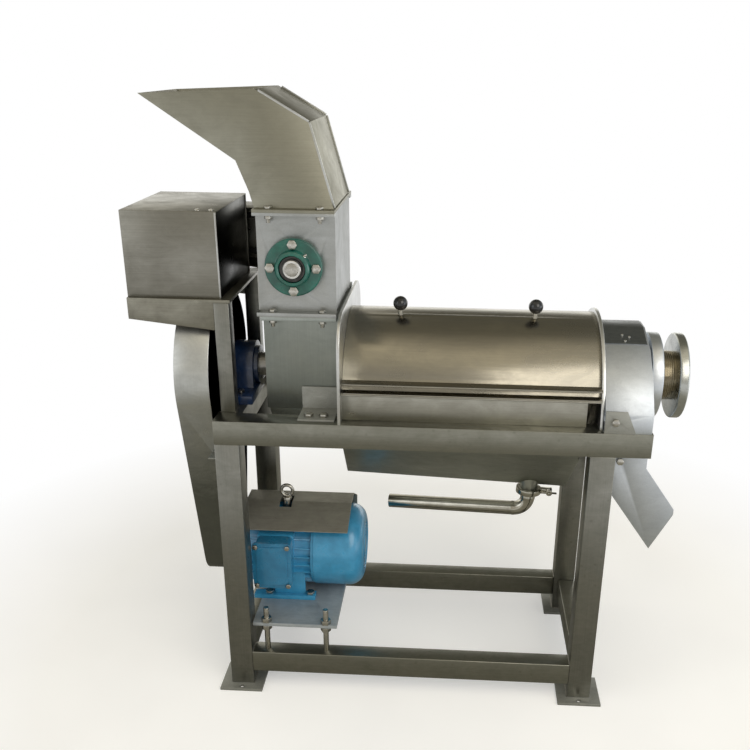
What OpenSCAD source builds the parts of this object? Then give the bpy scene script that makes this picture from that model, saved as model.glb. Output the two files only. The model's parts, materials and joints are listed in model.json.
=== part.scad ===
// Screw press juicer with a crusher on top, on a square tube stand.
// The model stands on z = 0. The press runs along X and the crusher shaft along Y.
// The origin is under the middle of the whole machine.

/* [Stand] */
// Side of the square tube of the legs and upper rails
tube_w = 50; // [46:1:54]
// Wall of the stand tubes
tube_t = 3; // [2:0.5:4]
// Depth of the stand over its legs
stand_d = 400; // [390:2:420]
// Height of the upper rails' top
rail_top = 640; // [620:5:700]
// How far the upper rails reach past the right legs
rail_over = 68; // [60:1:76]
// Height of the lower rails' top
low_rail_top = 90; // [80:2:100]
// Depth of the lower rails' tube
low_rail_d = 40; // [36:1:44]
// Side of a foot plate
foot_plate_w = 94; // [84:2:100]
// Thickness of a foot plate
foot_plate_t = 6; // [4:1:10]
// Radius of the bolt hole in a foot plate
foot_hole_r = 5; // [4:0.5:6]

/* [Press] */
// Shaft centre above the rails' top
shaft_rise = 57; // [55:1:60]
// Radius of the screw shaft
shaft_r = 25; // [22:0.5:26]
// Radius of the screw flight
screw_r = 100; // [96:1:102]
// Pitch of the screw flight
screw_pitch = 95; // [80:1:110]
// Thickness of the screw flight
flight_t = 5; // [4:0.5:7]
// Length of the barrel between its end plates
barrel_l = 509; // [480:1:560]
// Thickness of the left end plate
end_plate_t = 6; // [5:0.5:8]
// Height of the left end plate above the rails
end_plate_h = 212; // [206:1:220]
// Corner radius of the left end plate
end_plate_r = 70; // [60:1:80]
// Thickness of the right ring flange
ring_t = 7; // [5:0.5:9]
// Inset of the ring flange from the stand's depth
ring_inset = 14; // [8:1:18]
// Height of the ring's and the cover's centres above the rails
arch_rise = 7; // [6:0.5:12]
// Inset of the barrel cover from the stand's depth
cover_inset = 22; // [20:1:26]
// Sheet thickness of the barrel cover
cover_t = 2.5; // [2:0.5:3]
// Lift of the barrel cover when it is taken off
cover_lift = 200; // [100:10:300]
// Radius of the ball knobs
knob_r = 15; // [12:0.5:18]
// Thickness of the screen basket's shell
basket_t = 3; // [2:0.5:4]
// Width of a drain slot in the basket
slot_w = 3; // [2:0.5:4]

/* [Outlet] */
// Length of the outlet chamber
outlet_l = 93; // [88:1:110]
// Wall of the outlet chamber
outlet_t = 4; // [3:0.5:5]
// Radius of the gland flange and of the hand disc
disc_r = 90; // [84:1:94]
// Thickness of the gland flange
gland_t = 24; // [18:1:28]
// Radius of the threaded sleeve
sleeve_r = 52; // [48:1:54]
// Length of sleeve that shows between gland and hand disc
sleeve_show = 32; // [30:1:50]
// Thickness of the hand disc
disc_t = 20; // [12:1:24]
// Travel of the pressure cone
cone_travel = 24; // [20:1:26]
// Largest radius of the pressure cone
cone_r = 98; // [92:1:100]

/* [Crusher] */
// Outer length of the crusher box
box_l = 152; // [146:1:160]
// Half width of the crusher box
box_half = 117; // [112:1:120]
// Height of the crusher box between its flanges
box_h = 186; // [180:1:200]
// Wall of the crusher box
box_t = 4; // [3:0.5:5]
// Width of a flange strip
strip_w = 23; // [21:1:25]
// Thickness of a flange strip
strip_t = 6; // [5:0.5:8]
// Radius of the crusher shaft in its bearings
crusher_shaft_r = 12.5; // [12:0.25:14]
// Outer radius of a flange bearing
bearing_r = 57.5; // [56:0.5:60]
// Bolt circle radius of a flange bearing
bearing_bolt_r = 45; // [44:0.5:46]
// Radius of the crusher pulley
crusher_pulley_r = 60; // [52:1:62]
// Radius of the crusher motor's pulley
crusher_motor_pulley_r = 38; // [34:1:42]
// Length of the hood over the crusher motor
hood_l = 185; // [180:1:200]
// Height of the hood
hood_h = 167; // [164:1:180]

/* [Drive] */
// Height of the motor's shaft above its feet
motor_h = 100; // [98:1:104]
// Radius of the motor's fan cowl
cowl_r = 95; // [93:1:97]
// Height of the motor plate above the lower rails
plate_rise = 62; // [60:1:80]
// Thickness of the motor plate
plate_t = 8; // [6:1:10]
// How far the motor plate can be lifted
plate_lift = 12; // [6:1:14]
// Radius of the screw shaft's pulley
main_pulley_r = 145; // [135:1:150]
// Radius of the motor's pulley
motor_pulley_r = 46; // [42:1:50]
// Room between the large pulley and the belt guard
guard_room = 25; // [20:1:30]
// Room between the motor's pulley and the belt guard
guard_low_room = 20; // [16:1:24]
// Depth of the belt guard
guard_d = 70; // [66:1:76]

/* [Juice and pomace] */
// Depth of the juice trough below the rails, at its left end
trough_h = 143; // [130:1:150]
// Slope of the trough in degrees
trough_slope = 2.3; // [1:0.1:3]
// Outer radius of the juice pipe
pipe_r = 16; // [14:0.5:18]
// Length of the straight juice pipe
pipe_l = 290; // [240:5:310]
// Swing of the juice pipe towards the rear in degrees
pipe_swing = 10; // [0:1:20]
// Slope of the pomace chute in degrees
chute_slope = 54; // [50:0.5:58]
// Sheet thickness of chute, trough, guards and hood
sheet_t = 2; // [1.5:0.5:3]

/* [Hidden] */
$fn = 72;

// Shared clearances and overrun of cuts
overrun = 1;
run_fit = 0.05;
bolt_fit = 0.5;
gap = 0.3;
end_gap = 0.5;

// Bolt proportions as shares of the bolt's diameter
bolt_af_share = 1.7;
bolt_head_share = 0.64;
bolt_nut_share = 0.84;
m10 = 10;
m8 = 8;
m6 = 6;

// Places along X, counted from the left legs' outer face
bearing_off = 5;
pillow_x = tube_w / 2 + bearing_off;
chamber_x = 95;
chamber_l = 155;
end_plate_x = chamber_x + chamber_l;
barrel_x = end_plate_x + end_plate_t;
ring_x = barrel_x + barrel_l;
outlet_x = ring_x + ring_t;
outlet_end = outlet_x + outlet_l;
neck_l = 13;
gland_x = outlet_end + neck_l;
gland_end = gland_x + gland_t;
disc_x = gland_end + sleeve_show;
disc_end = disc_x + disc_t;
rail_lip = 3;
rail_end = outlet_end + rail_lip;
stand_l = rail_end - rail_over;
shelf_right = 38;
hood_right = 20;
hood_left = hood_right - hood_l;
x_mid = (hood_left + disc_end) / 2;

// Heights and half depths
half_d = stand_d / 2;
rail_in = half_d - tube_w;
rail_low = rail_top - tube_w;
shaft_z = rail_top + shaft_rise;
arch_z = rail_top + arch_rise;
cover_r = half_d - cover_inset;
ring_r = half_d - ring_inset;
low_rail_bottom = low_rail_top - tube_w;

// Press clearances and inner radii
chamber_t = 4;
chamber_half = 115;
feed_r = screw_r + sheet_t;
basket_r = feed_r + basket_t;
basket_ring_w = 8;
basket_ring_h = 13;
basket_ring_r = basket_r + basket_ring_h;
tongue_half = 130;
tongue_z = shaft_z - basket_ring_r - chamber_t;
core_r0 = 38;
core_r1 = 60;
flight_end_gap = 10;
flight_x = chamber_x + chamber_t + flight_end_gap;
flight_end = ring_x - flight_end_gap;

// Crusher places
chamber_rise = 200;
chamber_top = rail_top + chamber_rise;
chamber_flange_t = 8;
box_x = 90;
box_end = box_x + box_l;
box_low = chamber_top;
box_top = box_low + chamber_flange_t + box_h;
flange_top = box_top + strip_t;
strip_end_off = 2;
strip_half = box_half + strip_w;
flange_bolt_in = 27;
crusher_x = 161;
crusher_rise = 95;
crusher_z = chamber_top + crusher_rise;
bearing_t = 12;
bearing_boss_r = 34;
bearing_boss_h = 30;
insert_r = 26;
insert_inner_r = 17;

// Belt guards over their pulleys
guard_r = main_pulley_r + guard_room;
guard_low_r = motor_pulley_r + guard_low_room;
rear_guard_room = 10;
rear_guard_low_room = 22;
rear_guard_high_r = crusher_pulley_r + rear_guard_room;
rear_guard_low_r = crusher_motor_pulley_r + rear_guard_low_room;

// Hood, shelf and posts
post_w = 30;
post_x = 5;
post_half = 148;
shelf_t = 6;
shelf_top = shaft_z + guard_r + shelf_t;
hood_front = -140;
hood_rear = box_half;
hood_top = shelf_top + hood_h;
small_motor_x = -72;
small_motor_h = 80;
small_motor_z = shelf_top + small_motor_h;
small_motor_r = 68;
small_motor_front = -118;
small_motor_rear = 80;
small_shaft_r = 9.5;

// Crusher belt drive behind the box
crusher_belt_y = 171;
crusher_pulley_w = 24;
belt_w = 9;
belt_h = 11;
groove_w = 17;
groove_low_w = 9.8;
groove_h = 13;
rear_guard_y = 200;

// Main drive
belt_x = -45;
belt_pitch = 20;
pulley_w = 44;
guard_gap = 10;
guard_right = -guard_gap;
guard_left = guard_right - guard_d;
plate_low = low_rail_top + plate_rise;
plate_top = plate_low + plate_t;
motor_z = plate_top + motor_h;
motor_x0 = 5;
motor_fin_x0 = 22;
motor_fin_x1 = 166;
cowl_x0 = 168;
cowl_x1 = 284;
motor_barrel_r = 84;
motor_shaft_r = 14;

// Points on a circle's arc
function arc_pts(c, r, a0, a1, n) =
    [for (i = [0:n]) let(a = a0 + (a1 - a0) * i / n) [c[0] + r * cos(a), c[1] + r * sin(a)]];
// Loop that lies round two circles, like a belt
function loop_pts(ca, ra, cb, rb, n = 40) =
    let(d = norm(cb - ca), phi = atan2(cb[1] - ca[1], cb[0] - ca[0]), beta = acos((ra - rb) / d))
    concat(arc_pts(ca, ra, phi + beta, phi - beta + 360, n), arc_pts(cb, rb, phi - beta, phi + beta, n));
function unit(v) = v / norm(v);
function left_of(a, b) = let(d = unit(b - a)) [-d[1], d[0]];
function reversed(v) = [for (i = [len(v) - 1:-1:0]) v[i]];
// The same open path, moved to its left by t with mitred corners
function beside(p, t) = [for (i = [0:len(p) - 1])
    i == 0 ? p[0] + t * left_of(p[0], p[1]) :
    i == len(p) - 1 ? p[i] + t * left_of(p[i - 1], p[i]) :
    let(n1 = left_of(p[i - 1], p[i]), n2 = left_of(p[i], p[i + 1]), m = unit(n1 + n2)) p[i] + m * t / (m * n1)];
// Bent sheet of thickness t along an open path
function sheet_pts(p, t) = concat(p, reversed(beside(p, t)));
function mirrored(p) = [for (q = p) [-q[0], q[1]]];

module place() translate([-x_mid, 0, 0]) children();
module block(x0, x1, y0, y1, z0, z1) translate([x0, y0, z0]) cube([x1 - x0, y1 - y0, z1 - z0]);
module both_sides() {
    children();
    mirror([0, 1, 0]) children();
}
module cyl_x(x0, x1, r, y = 0, z = 0) translate([x0, y, z]) rotate([0, 90, 0]) cylinder(h = x1 - x0, r = r);
module cyl_y(y0, y1, r, x = 0, z = 0) translate([x, y1, z]) rotate([90, 0, 0]) cylinder(h = y1 - y0, r = r);
module cyl_z(z0, z1, r, x = 0, y = 0) translate([x, y, z0]) cylinder(h = z1 - z0, r = r);
// Flat outlines pushed along X (points are y, z) or along Y (points are x, z)
module along_x(x0, x1) translate([x0, 0, 0]) rotate([90, 0, 90]) linear_extrude(x1 - x0) children();
module along_y(y0, y1) translate([0, y1, 0]) rotate([90, 0, 0]) linear_extrude(y1 - y0) children();
// A profile of (radius, place) turned about the X axis or the Y axis
module turned_x(x, z, y = 0) translate([x, y, z]) rotate([0, 90, 0]) rotate_extrude() children();
module turned_y(y, x, z) translate([x, y, z]) rotate([-90, 0, 0]) rotate_extrude() children();

// Hexagon head bolt: the seat is at z = 0, the head above it and the shank below
module hex_bolt(d, grip, tail) {
    cylinder(h = bolt_head_share * d, r = bolt_af_share * d / 2 / cos(30), $fn = 6);
    translate([0, 0, -grip - tail]) cylinder(h = grip + tail, r = d / 2);
}
module hex_nut(d) difference() {
    cylinder(h = bolt_nut_share * d, r = bolt_af_share * d / 2 / cos(30), $fn = 6);
    translate([0, 0, -overrun]) cylinder(h = bolt_nut_share * d + 2 * overrun, r = d / 2 + run_fit);
}
module bolt_hole(d, l) translate([0, 0, -l]) cylinder(h = 2 * l, r = d / 2 + bolt_fit);

// Places of the bolts through the rails
foot_bolt_x0 = 188;
foot_bolt_pitch = 30;
foot_bolt_in = 15;
foot_bolt_y = rail_in + foot_bolt_in;
pillow_bolt_y = 79.5;
pillow_base_half = 103;
pillow_base_t = 18;
foot_plate_angle_t = 4;

// Four legs of square tube
module legs() color("silver") place()
    for (x = [0, stand_l - tube_w], y = [-half_d, rail_in])
        difference() {
            block(x, x + tube_w, y, y + tube_w, foot_plate_t, rail_low);
            block(x + tube_t, x + tube_w - tube_t, y + tube_t, y + tube_w - tube_t,
                foot_plate_t - overrun, rail_low + overrun);
        }

// Flat plates welded under the legs, each with one bolt hole
module foot_plates() color("silver") place()
    for (x = [tube_w / 2, stand_l - tube_w / 2], side = [-1, 1])
        difference() {
            translate([x - foot_plate_w / 2, side * (half_d - tube_w / 2) - foot_plate_w / 2, 0])
                cube([foot_plate_w, foot_plate_w, foot_plate_t]);
            translate([x, side * (half_d + (foot_plate_w - tube_w) / 4), 0]) cylinder(
                h = 3 * foot_plate_t, r = foot_hole_r, center = true);
        }

// Two long rails on the legs and the cross rail that carries the main bearing
module upper_rails() color("silver") place() {
    both_sides() difference() {
        block(0, rail_end, -half_d, -rail_in, rail_low, rail_top);
        block(-overrun, rail_end + overrun, -half_d + tube_t, -rail_in - tube_t,
            rail_low + tube_t, rail_top - tube_t);
        for (i = [0, 1]) translate([foot_bolt_x0 + i * foot_bolt_pitch, -foot_bolt_y, rail_top])
            bolt_hole(m10, 2 * tube_t);
    }
    difference() {
        block(0, tube_w, -rail_in, rail_in, rail_low, rail_top);
        block(tube_t, tube_w - tube_t, -rail_in - overrun, rail_in + overrun,
            rail_low + tube_t, rail_top - tube_t);
        for (y = [-pillow_bolt_y, pillow_bolt_y]) translate([pillow_x, y, rail_top]) bolt_hole(m10, 2 * tube_t);
    }
}

rod_x0 = 82;
rod_x1 = 213;
rod_y = half_d - low_rail_d / 2;
rod_r = 6;

// Lower rails: two long ones and two short ones between the legs
module lower_rails() color("silver") place() {
    both_sides() difference() {
        block(tube_w, stand_l - tube_w, -half_d, -half_d + low_rail_d, low_rail_bottom, low_rail_top);
        block(tube_w - overrun, stand_l - tube_w + overrun, -half_d + tube_t, -half_d + low_rail_d - tube_t,
            low_rail_bottom + tube_t, low_rail_top - tube_t);
    }
    for (x = [0, stand_l - low_rail_d]) difference() {
        block(x, x + low_rail_d, -rail_in, rail_in, low_rail_bottom, low_rail_top);
        block(x + tube_t, x + low_rail_d - tube_t, -rail_in - overrun, rail_in + overrun,
            low_rail_bottom + tube_t, low_rail_top - tube_t);
    }
}

// Two posts on the cross rail that carry the hood shelf
module crusher_posts() color("silver") place() both_sides() difference() {
    block(post_x, post_x + post_w, -post_half, -post_half + post_w, rail_top, shelf_top - shelf_t);
    block(post_x + sheet_t, post_x + post_w - sheet_t, -post_half + sheet_t, -post_half + post_w - sheet_t,
        rail_top - overrun, shelf_top - shelf_t + overrun);
}

skirt_left_h = 36;
skirt_right_h = 55;
skirt_t = 3;

// Cantilever shelf under the hood: a plate with tapered skirts
module hood_shelf() color("silver") place() {
    block(hood_left, shelf_right, -post_half, post_half, shelf_top - shelf_t, shelf_top);
    both_sides() along_y(-post_half, -post_half + skirt_t)
        polygon([[hood_left, shelf_top - shelf_t], [hood_left, shelf_top - shelf_t - skirt_left_h],
            [post_x, shelf_top - shelf_t - skirt_right_h], [post_x, shelf_top - shelf_t]]);
    block(hood_left, hood_left + sheet_t, -post_half + skirt_t, post_half - skirt_t,
        shelf_top - shelf_t - skirt_left_h, shelf_top - shelf_t);
}

small_shaft_hole_r = 20;

// Sheet hood over the crusher motor, open below and at its right end
module hood() color("silver") place() difference() {
    block(hood_left, hood_right, hood_front, hood_rear, shelf_top, hood_top);
    block(hood_left + sheet_t, hood_right + overrun, hood_front + sheet_t, hood_rear - sheet_t,
        shelf_top - overrun, hood_top - sheet_t);
    cyl_y(hood_rear - 2 * sheet_t, hood_rear + overrun, small_shaft_hole_r, small_motor_x, small_motor_z);
}

end_plate_in = 2;
end_lip = 16;

// Plate that closes the hood's right end, with a lip under the hood's top
module hood_end_plate() color("dimgray") place() {
    block(hood_right - end_plate_in - sheet_t, hood_right - end_plate_in, hood_front + sheet_t,
        hood_rear - sheet_t, shelf_top, hood_top - sheet_t);
    block(hood_right - end_plate_in - end_lip, hood_right - end_plate_in - sheet_t, hood_front + sheet_t,
        hood_rear - sheet_t, hood_top - 2 * sheet_t, hood_top - sheet_t);
}

small_foot_half = 62;
small_foot_y0 = -50;
small_foot_y1 = 50;
small_foot_t = 8;
small_bore_r = 46;
small_wall = 8;

// Crusher motor housing on its feet, with end shields and fan cowl
module crusher_motor() color("steelblue") place() {
    difference() {
        union() {
            cyl_y(small_motor_front, small_motor_rear, small_motor_r, small_motor_x, small_motor_z);
            block(small_motor_x - small_foot_half, small_motor_x + small_foot_half, small_foot_y0,
                small_foot_y1, shelf_top, shelf_top + small_foot_t);
            for (side = [-1, 1]) translate([small_motor_x + side * small_motor_r / 2, 0, 0])
                block(-small_foot_t / 2, small_foot_t / 2, small_foot_y0, small_foot_y1, shelf_top,
                    small_motor_z - small_motor_r / 2);
        }
        cyl_y(small_motor_front + small_wall, small_motor_rear - small_wall, small_bore_r,
            small_motor_x, small_motor_z);
        cyl_y(small_motor_rear - 2 * small_wall, small_motor_rear + overrun, small_shaft_r + run_fit,
            small_motor_x, small_motor_z);
    }
}

small_rotor_r = 44;
small_rotor_front = -95;
small_rotor_rear = 55;
small_shaft_end = crusher_belt_y + crusher_pulley_w / 2;

// Rotor and shaft of the crusher motor
module crusher_motor_shaft() color("gray") place() {
    cyl_y(small_rotor_front, small_rotor_rear, small_rotor_r, small_motor_x, small_motor_z);
    cyl_y(small_rotor_rear, small_shaft_end, small_shaft_r, small_motor_x, small_motor_z);
}

// Pulley with V grooves on a bore, turned about the given places of its grooves
module grooved_pulley(r, w, bore, grooves) difference() {
    rotate_extrude() polygon([[bore, -w / 2], [r, -w / 2], [r, w / 2], [bore, w / 2]]);
    for (g = grooves) translate([0, 0, g]) rotate_extrude()
        polygon([[r + overrun, -groove_w / 2 - overrun * (groove_w - groove_low_w) / 2 / groove_h],
            [r - groove_h, -groove_low_w / 2], [r - groove_h, groove_low_w / 2],
            [r + overrun, groove_w / 2 + overrun * (groove_w - groove_low_w) / 2 / groove_h]]);
}

module crusher_motor_pulley() color("dimgray") place()
    translate([small_motor_x, crusher_belt_y, small_motor_z]) rotate([-90, 0, 0])
        grooved_pulley(crusher_motor_pulley_r, crusher_pulley_w, small_shaft_r + run_fit, [0]);

module crusher_pulley() color("dimgray") place()
    translate([crusher_x, crusher_belt_y, crusher_z]) rotate([-90, 0, 0])
        grooved_pulley(crusher_pulley_r, crusher_pulley_w, crusher_shaft_r + run_fit, [0]);

crusher_c = [crusher_x, crusher_z];
small_motor_c = [small_motor_x, small_motor_z];
belt_seat = groove_h - gap;

// Belt loop round two pulleys, lying in their grooves
module belt_loop(ca, ra, cb, rb) difference() {
    polygon(loop_pts(ca, ra - belt_seat + belt_h, cb, rb - belt_seat + belt_h));
    polygon(loop_pts(ca, ra - belt_seat, cb, rb - belt_seat));
}

module crusher_belt() color([0.12, 0.12, 0.12]) place()
    along_y(crusher_belt_y - belt_w / 2, crusher_belt_y + belt_w / 2)
        belt_loop(crusher_c, crusher_pulley_r, small_motor_c, crusher_motor_pulley_r);

// Guard over the crusher belt, open towards the crusher box
module crusher_belt_guard() color("silver") place() difference() {
    along_y(hood_rear, rear_guard_y)
        polygon(loop_pts(crusher_c, rear_guard_high_r, small_motor_c, rear_guard_low_r));
    along_y(hood_rear - overrun, rear_guard_y - sheet_t)
        polygon(loop_pts(crusher_c, rear_guard_high_r - sheet_t, small_motor_c, rear_guard_low_r - sheet_t));
}

crusher_mid_r = 20;
crusher_front_end = -box_half - bearing_boss_h - overrun;
crusher_rear_end = crusher_belt_y + crusher_pulley_w / 2;
knife_half = 92;

// Crusher shaft, thick between its bearings
module crusher_shaft() color("lightgray") place() {
    cyl_y(crusher_front_end, -box_half + box_t, crusher_shaft_r, crusher_x, crusher_z);
    cyl_y(-box_half + box_t, box_half - box_t, crusher_mid_r, crusher_x, crusher_z);
    cyl_y(box_half - box_t, crusher_rear_end, crusher_shaft_r, crusher_x, crusher_z);
}

knife_count = 5;
knife_t = 8;
knife_r = 62;
knife_hub_r = 34;
knife_w = 14;
knife_step = 36;

// Star knives on the crusher shaft, each turned a little against the next
module crusher_knives() color("lightgray") place()
    for (i = [0:knife_count - 1]) translate([crusher_x, (i - (knife_count - 1) / 2) * knife_step, crusher_z])
        rotate([90, i * 90 / knife_count, 0]) difference() {
            union() {
                cylinder(h = knife_t, r = knife_hub_r, center = true);
                for (a = [0, 90]) rotate([0, 0, a]) cube([2 * knife_r, knife_w, knife_t], center = true);
            }
            cylinder(h = 2 * knife_t, r = crusher_mid_r + run_fit, center = true);
        }

// Bolt places of the flange strips
strip_bolt_x = [box_x + flange_bolt_in, box_end - flange_bolt_in];
strip_bolt_y = box_half + strip_w / 2;
module strip_holes(z) for (x = strip_bolt_x, side = [-1, 1])
    translate([x, side * strip_bolt_y, z]) bolt_hole(m8, strip_t + chamber_flange_t);

bearing_hole_r = 30;

// Crusher box: four walls with flange strips above and below
module crusher_box() color("silver") place() difference() {
    union() {
        block(box_x, box_end, -box_half, box_half, box_low, flange_top);
        both_sides() {
            block(box_x - strip_end_off, box_end + strip_end_off, -strip_half, -box_half, box_top, flange_top);
            block(box_x - strip_end_off, box_end + strip_end_off, -strip_half, -box_half, box_low,
                box_low + chamber_flange_t);
        }
    }
    block(box_x + box_t, box_end - box_t, -box_half + box_t, box_half - box_t, box_low - overrun,
        flange_top + overrun);
    cyl_y(-box_half - overrun, box_half + overrun, bearing_hole_r, crusher_x, crusher_z);
    for (a = [0:90:270]) translate([crusher_x + bearing_bolt_r * cos(a), 0, crusher_z + bearing_bolt_r * sin(a)])
        cyl_y(-box_half - overrun, box_half + overrun, m10 / 2 + bolt_fit);
    strip_holes(flange_top);
    strip_holes(box_low);
}

// Hopper outline, given above the crusher box's top flange and from its left and right walls
hopper_low = flange_top;
hopper_t = 2;
neck_left_up = 36;
neck_left_in = 8;
shoulder_up = 91;
shoulder_in = 30;
tip_up = 206;
tip_out = 203;
mouth_up = 216;
mouth_in = 10;
roof_up = 160;
roof_in = 45;
hopper_left = box_x - strip_end_off;
hopper_right = box_end - strip_end_off;
hopper_left_path = [[hopper_left, hopper_low + strip_t], [hopper_left - neck_left_in, hopper_low + neck_left_up],
    [hopper_left - shoulder_in, hopper_low + shoulder_up], [hopper_left - tip_out, hopper_low + tip_up]];
hopper_right_path = [[box_x + mouth_in, hopper_low + mouth_up], [box_end - roof_in, hopper_low + roof_up],
    [hopper_right, hopper_low + strip_t]];

// The same open path with its first and last stretches carried on by half their length
function carried_on(p) = let(n = len(p) - 1) concat([p[0] + (p[0] - p[1]) / 2],
    [for (i = [1:n - 1]) p[i]], [p[n] + (p[n] - p[n - 1]) / 2]);

// Gooseneck feed hopper of bent sheet with a flange below
module hopper() color("silver") place() difference() {
    union() {
        along_y(-box_half, box_half) polygon(concat(hopper_left_path, hopper_right_path));
        block(box_x - strip_end_off, box_end + strip_end_off, -strip_half, strip_half, hopper_low,
            hopper_low + strip_t);
    }
    along_y(-box_half + hopper_t, box_half - hopper_t) intersection() {
        polygon(concat(beside(carried_on(hopper_left_path), -hopper_t),
            beside(carried_on(hopper_right_path), -hopper_t)));
        translate([-stand_l, hopper_low + strip_t]) square([2 * stand_l, stand_l]);
    }
    block(box_x + box_t, box_end - box_t, -box_half + box_t, box_half - box_t, hopper_low - overrun,
        hopper_low + strip_t + overrun);
    strip_holes(hopper_low);
}

// Round flange bearing housing, seated at y = 0 and standing towards -Y
module flange_housing() difference() {
    union() {
        cyl_y(-bearing_t, 0, bearing_r);
        cyl_y(-bearing_boss_h, -bearing_t, bearing_boss_r);
    }
    cyl_y(-bearing_boss_h - overrun, overrun, insert_r + run_fit);
    for (a = [0:90:270]) translate([bearing_bolt_r * cos(a), 0, bearing_bolt_r * sin(a)])
        cyl_y(-bearing_boss_h, overrun, m10 / 2 + bolt_fit);
}

module flange_bearings() color("darkgreen") place() both_sides()
    translate([crusher_x, -box_half, crusher_z]) flange_housing();

insert_in = 3;

// Ball bearing inserts on the crusher shaft
module bearing_inserts() color("lightgray") place() both_sides() difference() {
    cyl_y(-box_half - bearing_boss_h, -box_half - insert_in, insert_r, crusher_x, crusher_z);
    cyl_y(-box_half - bearing_boss_h - overrun, -box_half + overrun, crusher_shaft_r + run_fit, crusher_x,
        crusher_z);
}

// Section of the inlet chamber: upright walls from the given height and a round bottom
module chamber_section(half, low) {
    translate([-half, low]) square([2 * half, chamber_top - low]);
    translate([0, shaft_z]) circle(r = half);
}

seal_hole_r = 30;

// Inlet chamber under the crusher, its right end closed by the barrel end plate
module inlet_chamber() color("silver") place() difference() {
    union() {
        along_x(chamber_x, end_plate_x) chamber_section(chamber_half, rail_top);
        both_sides() block(chamber_x, end_plate_x - end_plate_t, -strip_half, -chamber_half,
            chamber_top - chamber_flange_t, chamber_top);
    }
    along_x(chamber_x + chamber_t, end_plate_x + overrun) intersection() {
        chamber_section(chamber_half - chamber_t, rail_top + chamber_t);
        translate([-chamber_half, shaft_z - chamber_half])
            square([2 * chamber_half, chamber_top - chamber_t - shaft_z + chamber_half]);
    }
    block(box_x + box_t + chamber_t, box_end - box_t, -chamber_half + chamber_t, chamber_half - chamber_t,
        chamber_top - 2 * chamber_flange_t, chamber_top + overrun);
    cyl_x(chamber_x - overrun, chamber_x + 2 * chamber_t, seal_hole_r, 0, shaft_z);
    strip_holes(chamber_top);
}

foot_angle_x0 = 168;
foot_angle_x1 = 242;
foot_angle_inset = 14;
foot_angle_front = half_d - foot_angle_inset;
foot_angle_h = 50;
outlet_foot_l = 62;
outlet_foot_top_l = 42;
outlet_foot_h = 46;
outlet_foot_t = 3;

// Angle feet of the inlet chamber and foot plates of the outlet chamber
module rail_feet() color("silver") place() both_sides() {
    difference() {
        union() {
            block(foot_angle_x0, foot_angle_x1, -foot_angle_front, -chamber_half, rail_top,
                rail_top + foot_plate_angle_t);
            block(foot_angle_x0, foot_angle_x1, -chamber_half - foot_plate_angle_t, -chamber_half, rail_top,
                rail_top + foot_angle_h);
        }
        for (i = [0, 1]) translate([foot_bolt_x0 + i * foot_bolt_pitch, -foot_bolt_y, rail_top])
            bolt_hole(m10, 2 * foot_plate_angle_t);
    }
    difference() {
        along_y(-half_d, -half_d + outlet_foot_t)
            polygon([[outlet_x, rail_top], [outlet_x + outlet_foot_l, rail_top],
                [outlet_x + outlet_foot_top_l, rail_top + outlet_foot_h], [outlet_x, rail_top + outlet_foot_h]]);
        translate([outlet_bolt_x, -half_d, outlet_bolt_z]) cyl_y(-overrun, 2 * outlet_foot_t, m8 / 2 + bolt_fit);
    }
}

outlet_bolt_in = 20;
outlet_bolt_up = 24;
outlet_bolt_x = outlet_x + outlet_bolt_in;
outlet_bolt_z = rail_top + outlet_bolt_up;
pillow_half_l = 30;
pillow_body_half = 22;
pillow_body_r = 50;
pillow_insert_r = 40;

// Pillow block bearing on the cross rail
module pillow_bearing() color([0.1, 0.22, 0.4]) place() difference() {
    union() {
        block(pillow_x - pillow_half_l, pillow_x + pillow_half_l, -pillow_base_half, pillow_base_half,
            rail_top, rail_top + pillow_base_t);
        cyl_x(pillow_x - pillow_body_half, pillow_x + pillow_body_half, pillow_body_r, 0, shaft_z);
        block(pillow_x - pillow_body_half, pillow_x + pillow_body_half, -pillow_body_r, pillow_body_r,
            rail_top + pillow_base_t, shaft_z);
        cyl_x(pillow_x - pillow_half_l, pillow_x + pillow_half_l, pillow_insert_r, 0, shaft_z);
    }
    cyl_x(pillow_x - 2 * pillow_half_l, pillow_x + 2 * pillow_half_l, shaft_r + run_fit, 0, shaft_z);
    for (y = [-pillow_bolt_y, pillow_bolt_y]) translate([pillow_x, y, rail_top + pillow_base_t])
        bolt_hole(m10, 2 * pillow_base_t);
}

seal_l = 12;
seal_r = 44;

// Shaft seal on the inlet chamber's left wall
module shaft_seal() color([0.15, 0.15, 0.15]) place() difference() {
    cyl_x(chamber_x - seal_l, chamber_x, seal_r, 0, shaft_z);
    cyl_x(chamber_x - seal_l - overrun, chamber_x + overrun, shaft_r + run_fit, 0, shaft_z);
}

web_in = 14;
web_t = 14;
hub_wall = 16;

// Large pulley on the screw shaft, with a web between rim and hub
module main_pulley() color("dimgray") place() translate([belt_x, 0, shaft_z]) rotate([0, 90, 0]) difference() {
    grooved_pulley(main_pulley_r, pulley_w, shaft_r + run_fit, [-belt_pitch / 2, belt_pitch / 2]);
    for (side = [-1, 1]) rotate_extrude()
        polygon([[shaft_r + hub_wall, side * web_t / 2], [main_pulley_r - groove_h - web_in, side * web_t / 2],
            [main_pulley_r - groove_h - web_in, side * pulley_w], [shaft_r + hub_wall, side * pulley_w]]);
}

main_c = [0, shaft_z];
motor_c = [0, motor_z];

module drive_belts() color([0.12, 0.12, 0.12]) place() for (side = [-1, 1])
    translate([belt_x + side * belt_pitch / 2, 0, 0]) along_x(-belt_w / 2, belt_w / 2)
        belt_loop(main_c, main_pulley_r, motor_c, motor_pulley_r);

guard_tab_w = 24;
guard_tab_drop = 45;
guard_tab_z = rail_low - guard_tab_drop;

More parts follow.
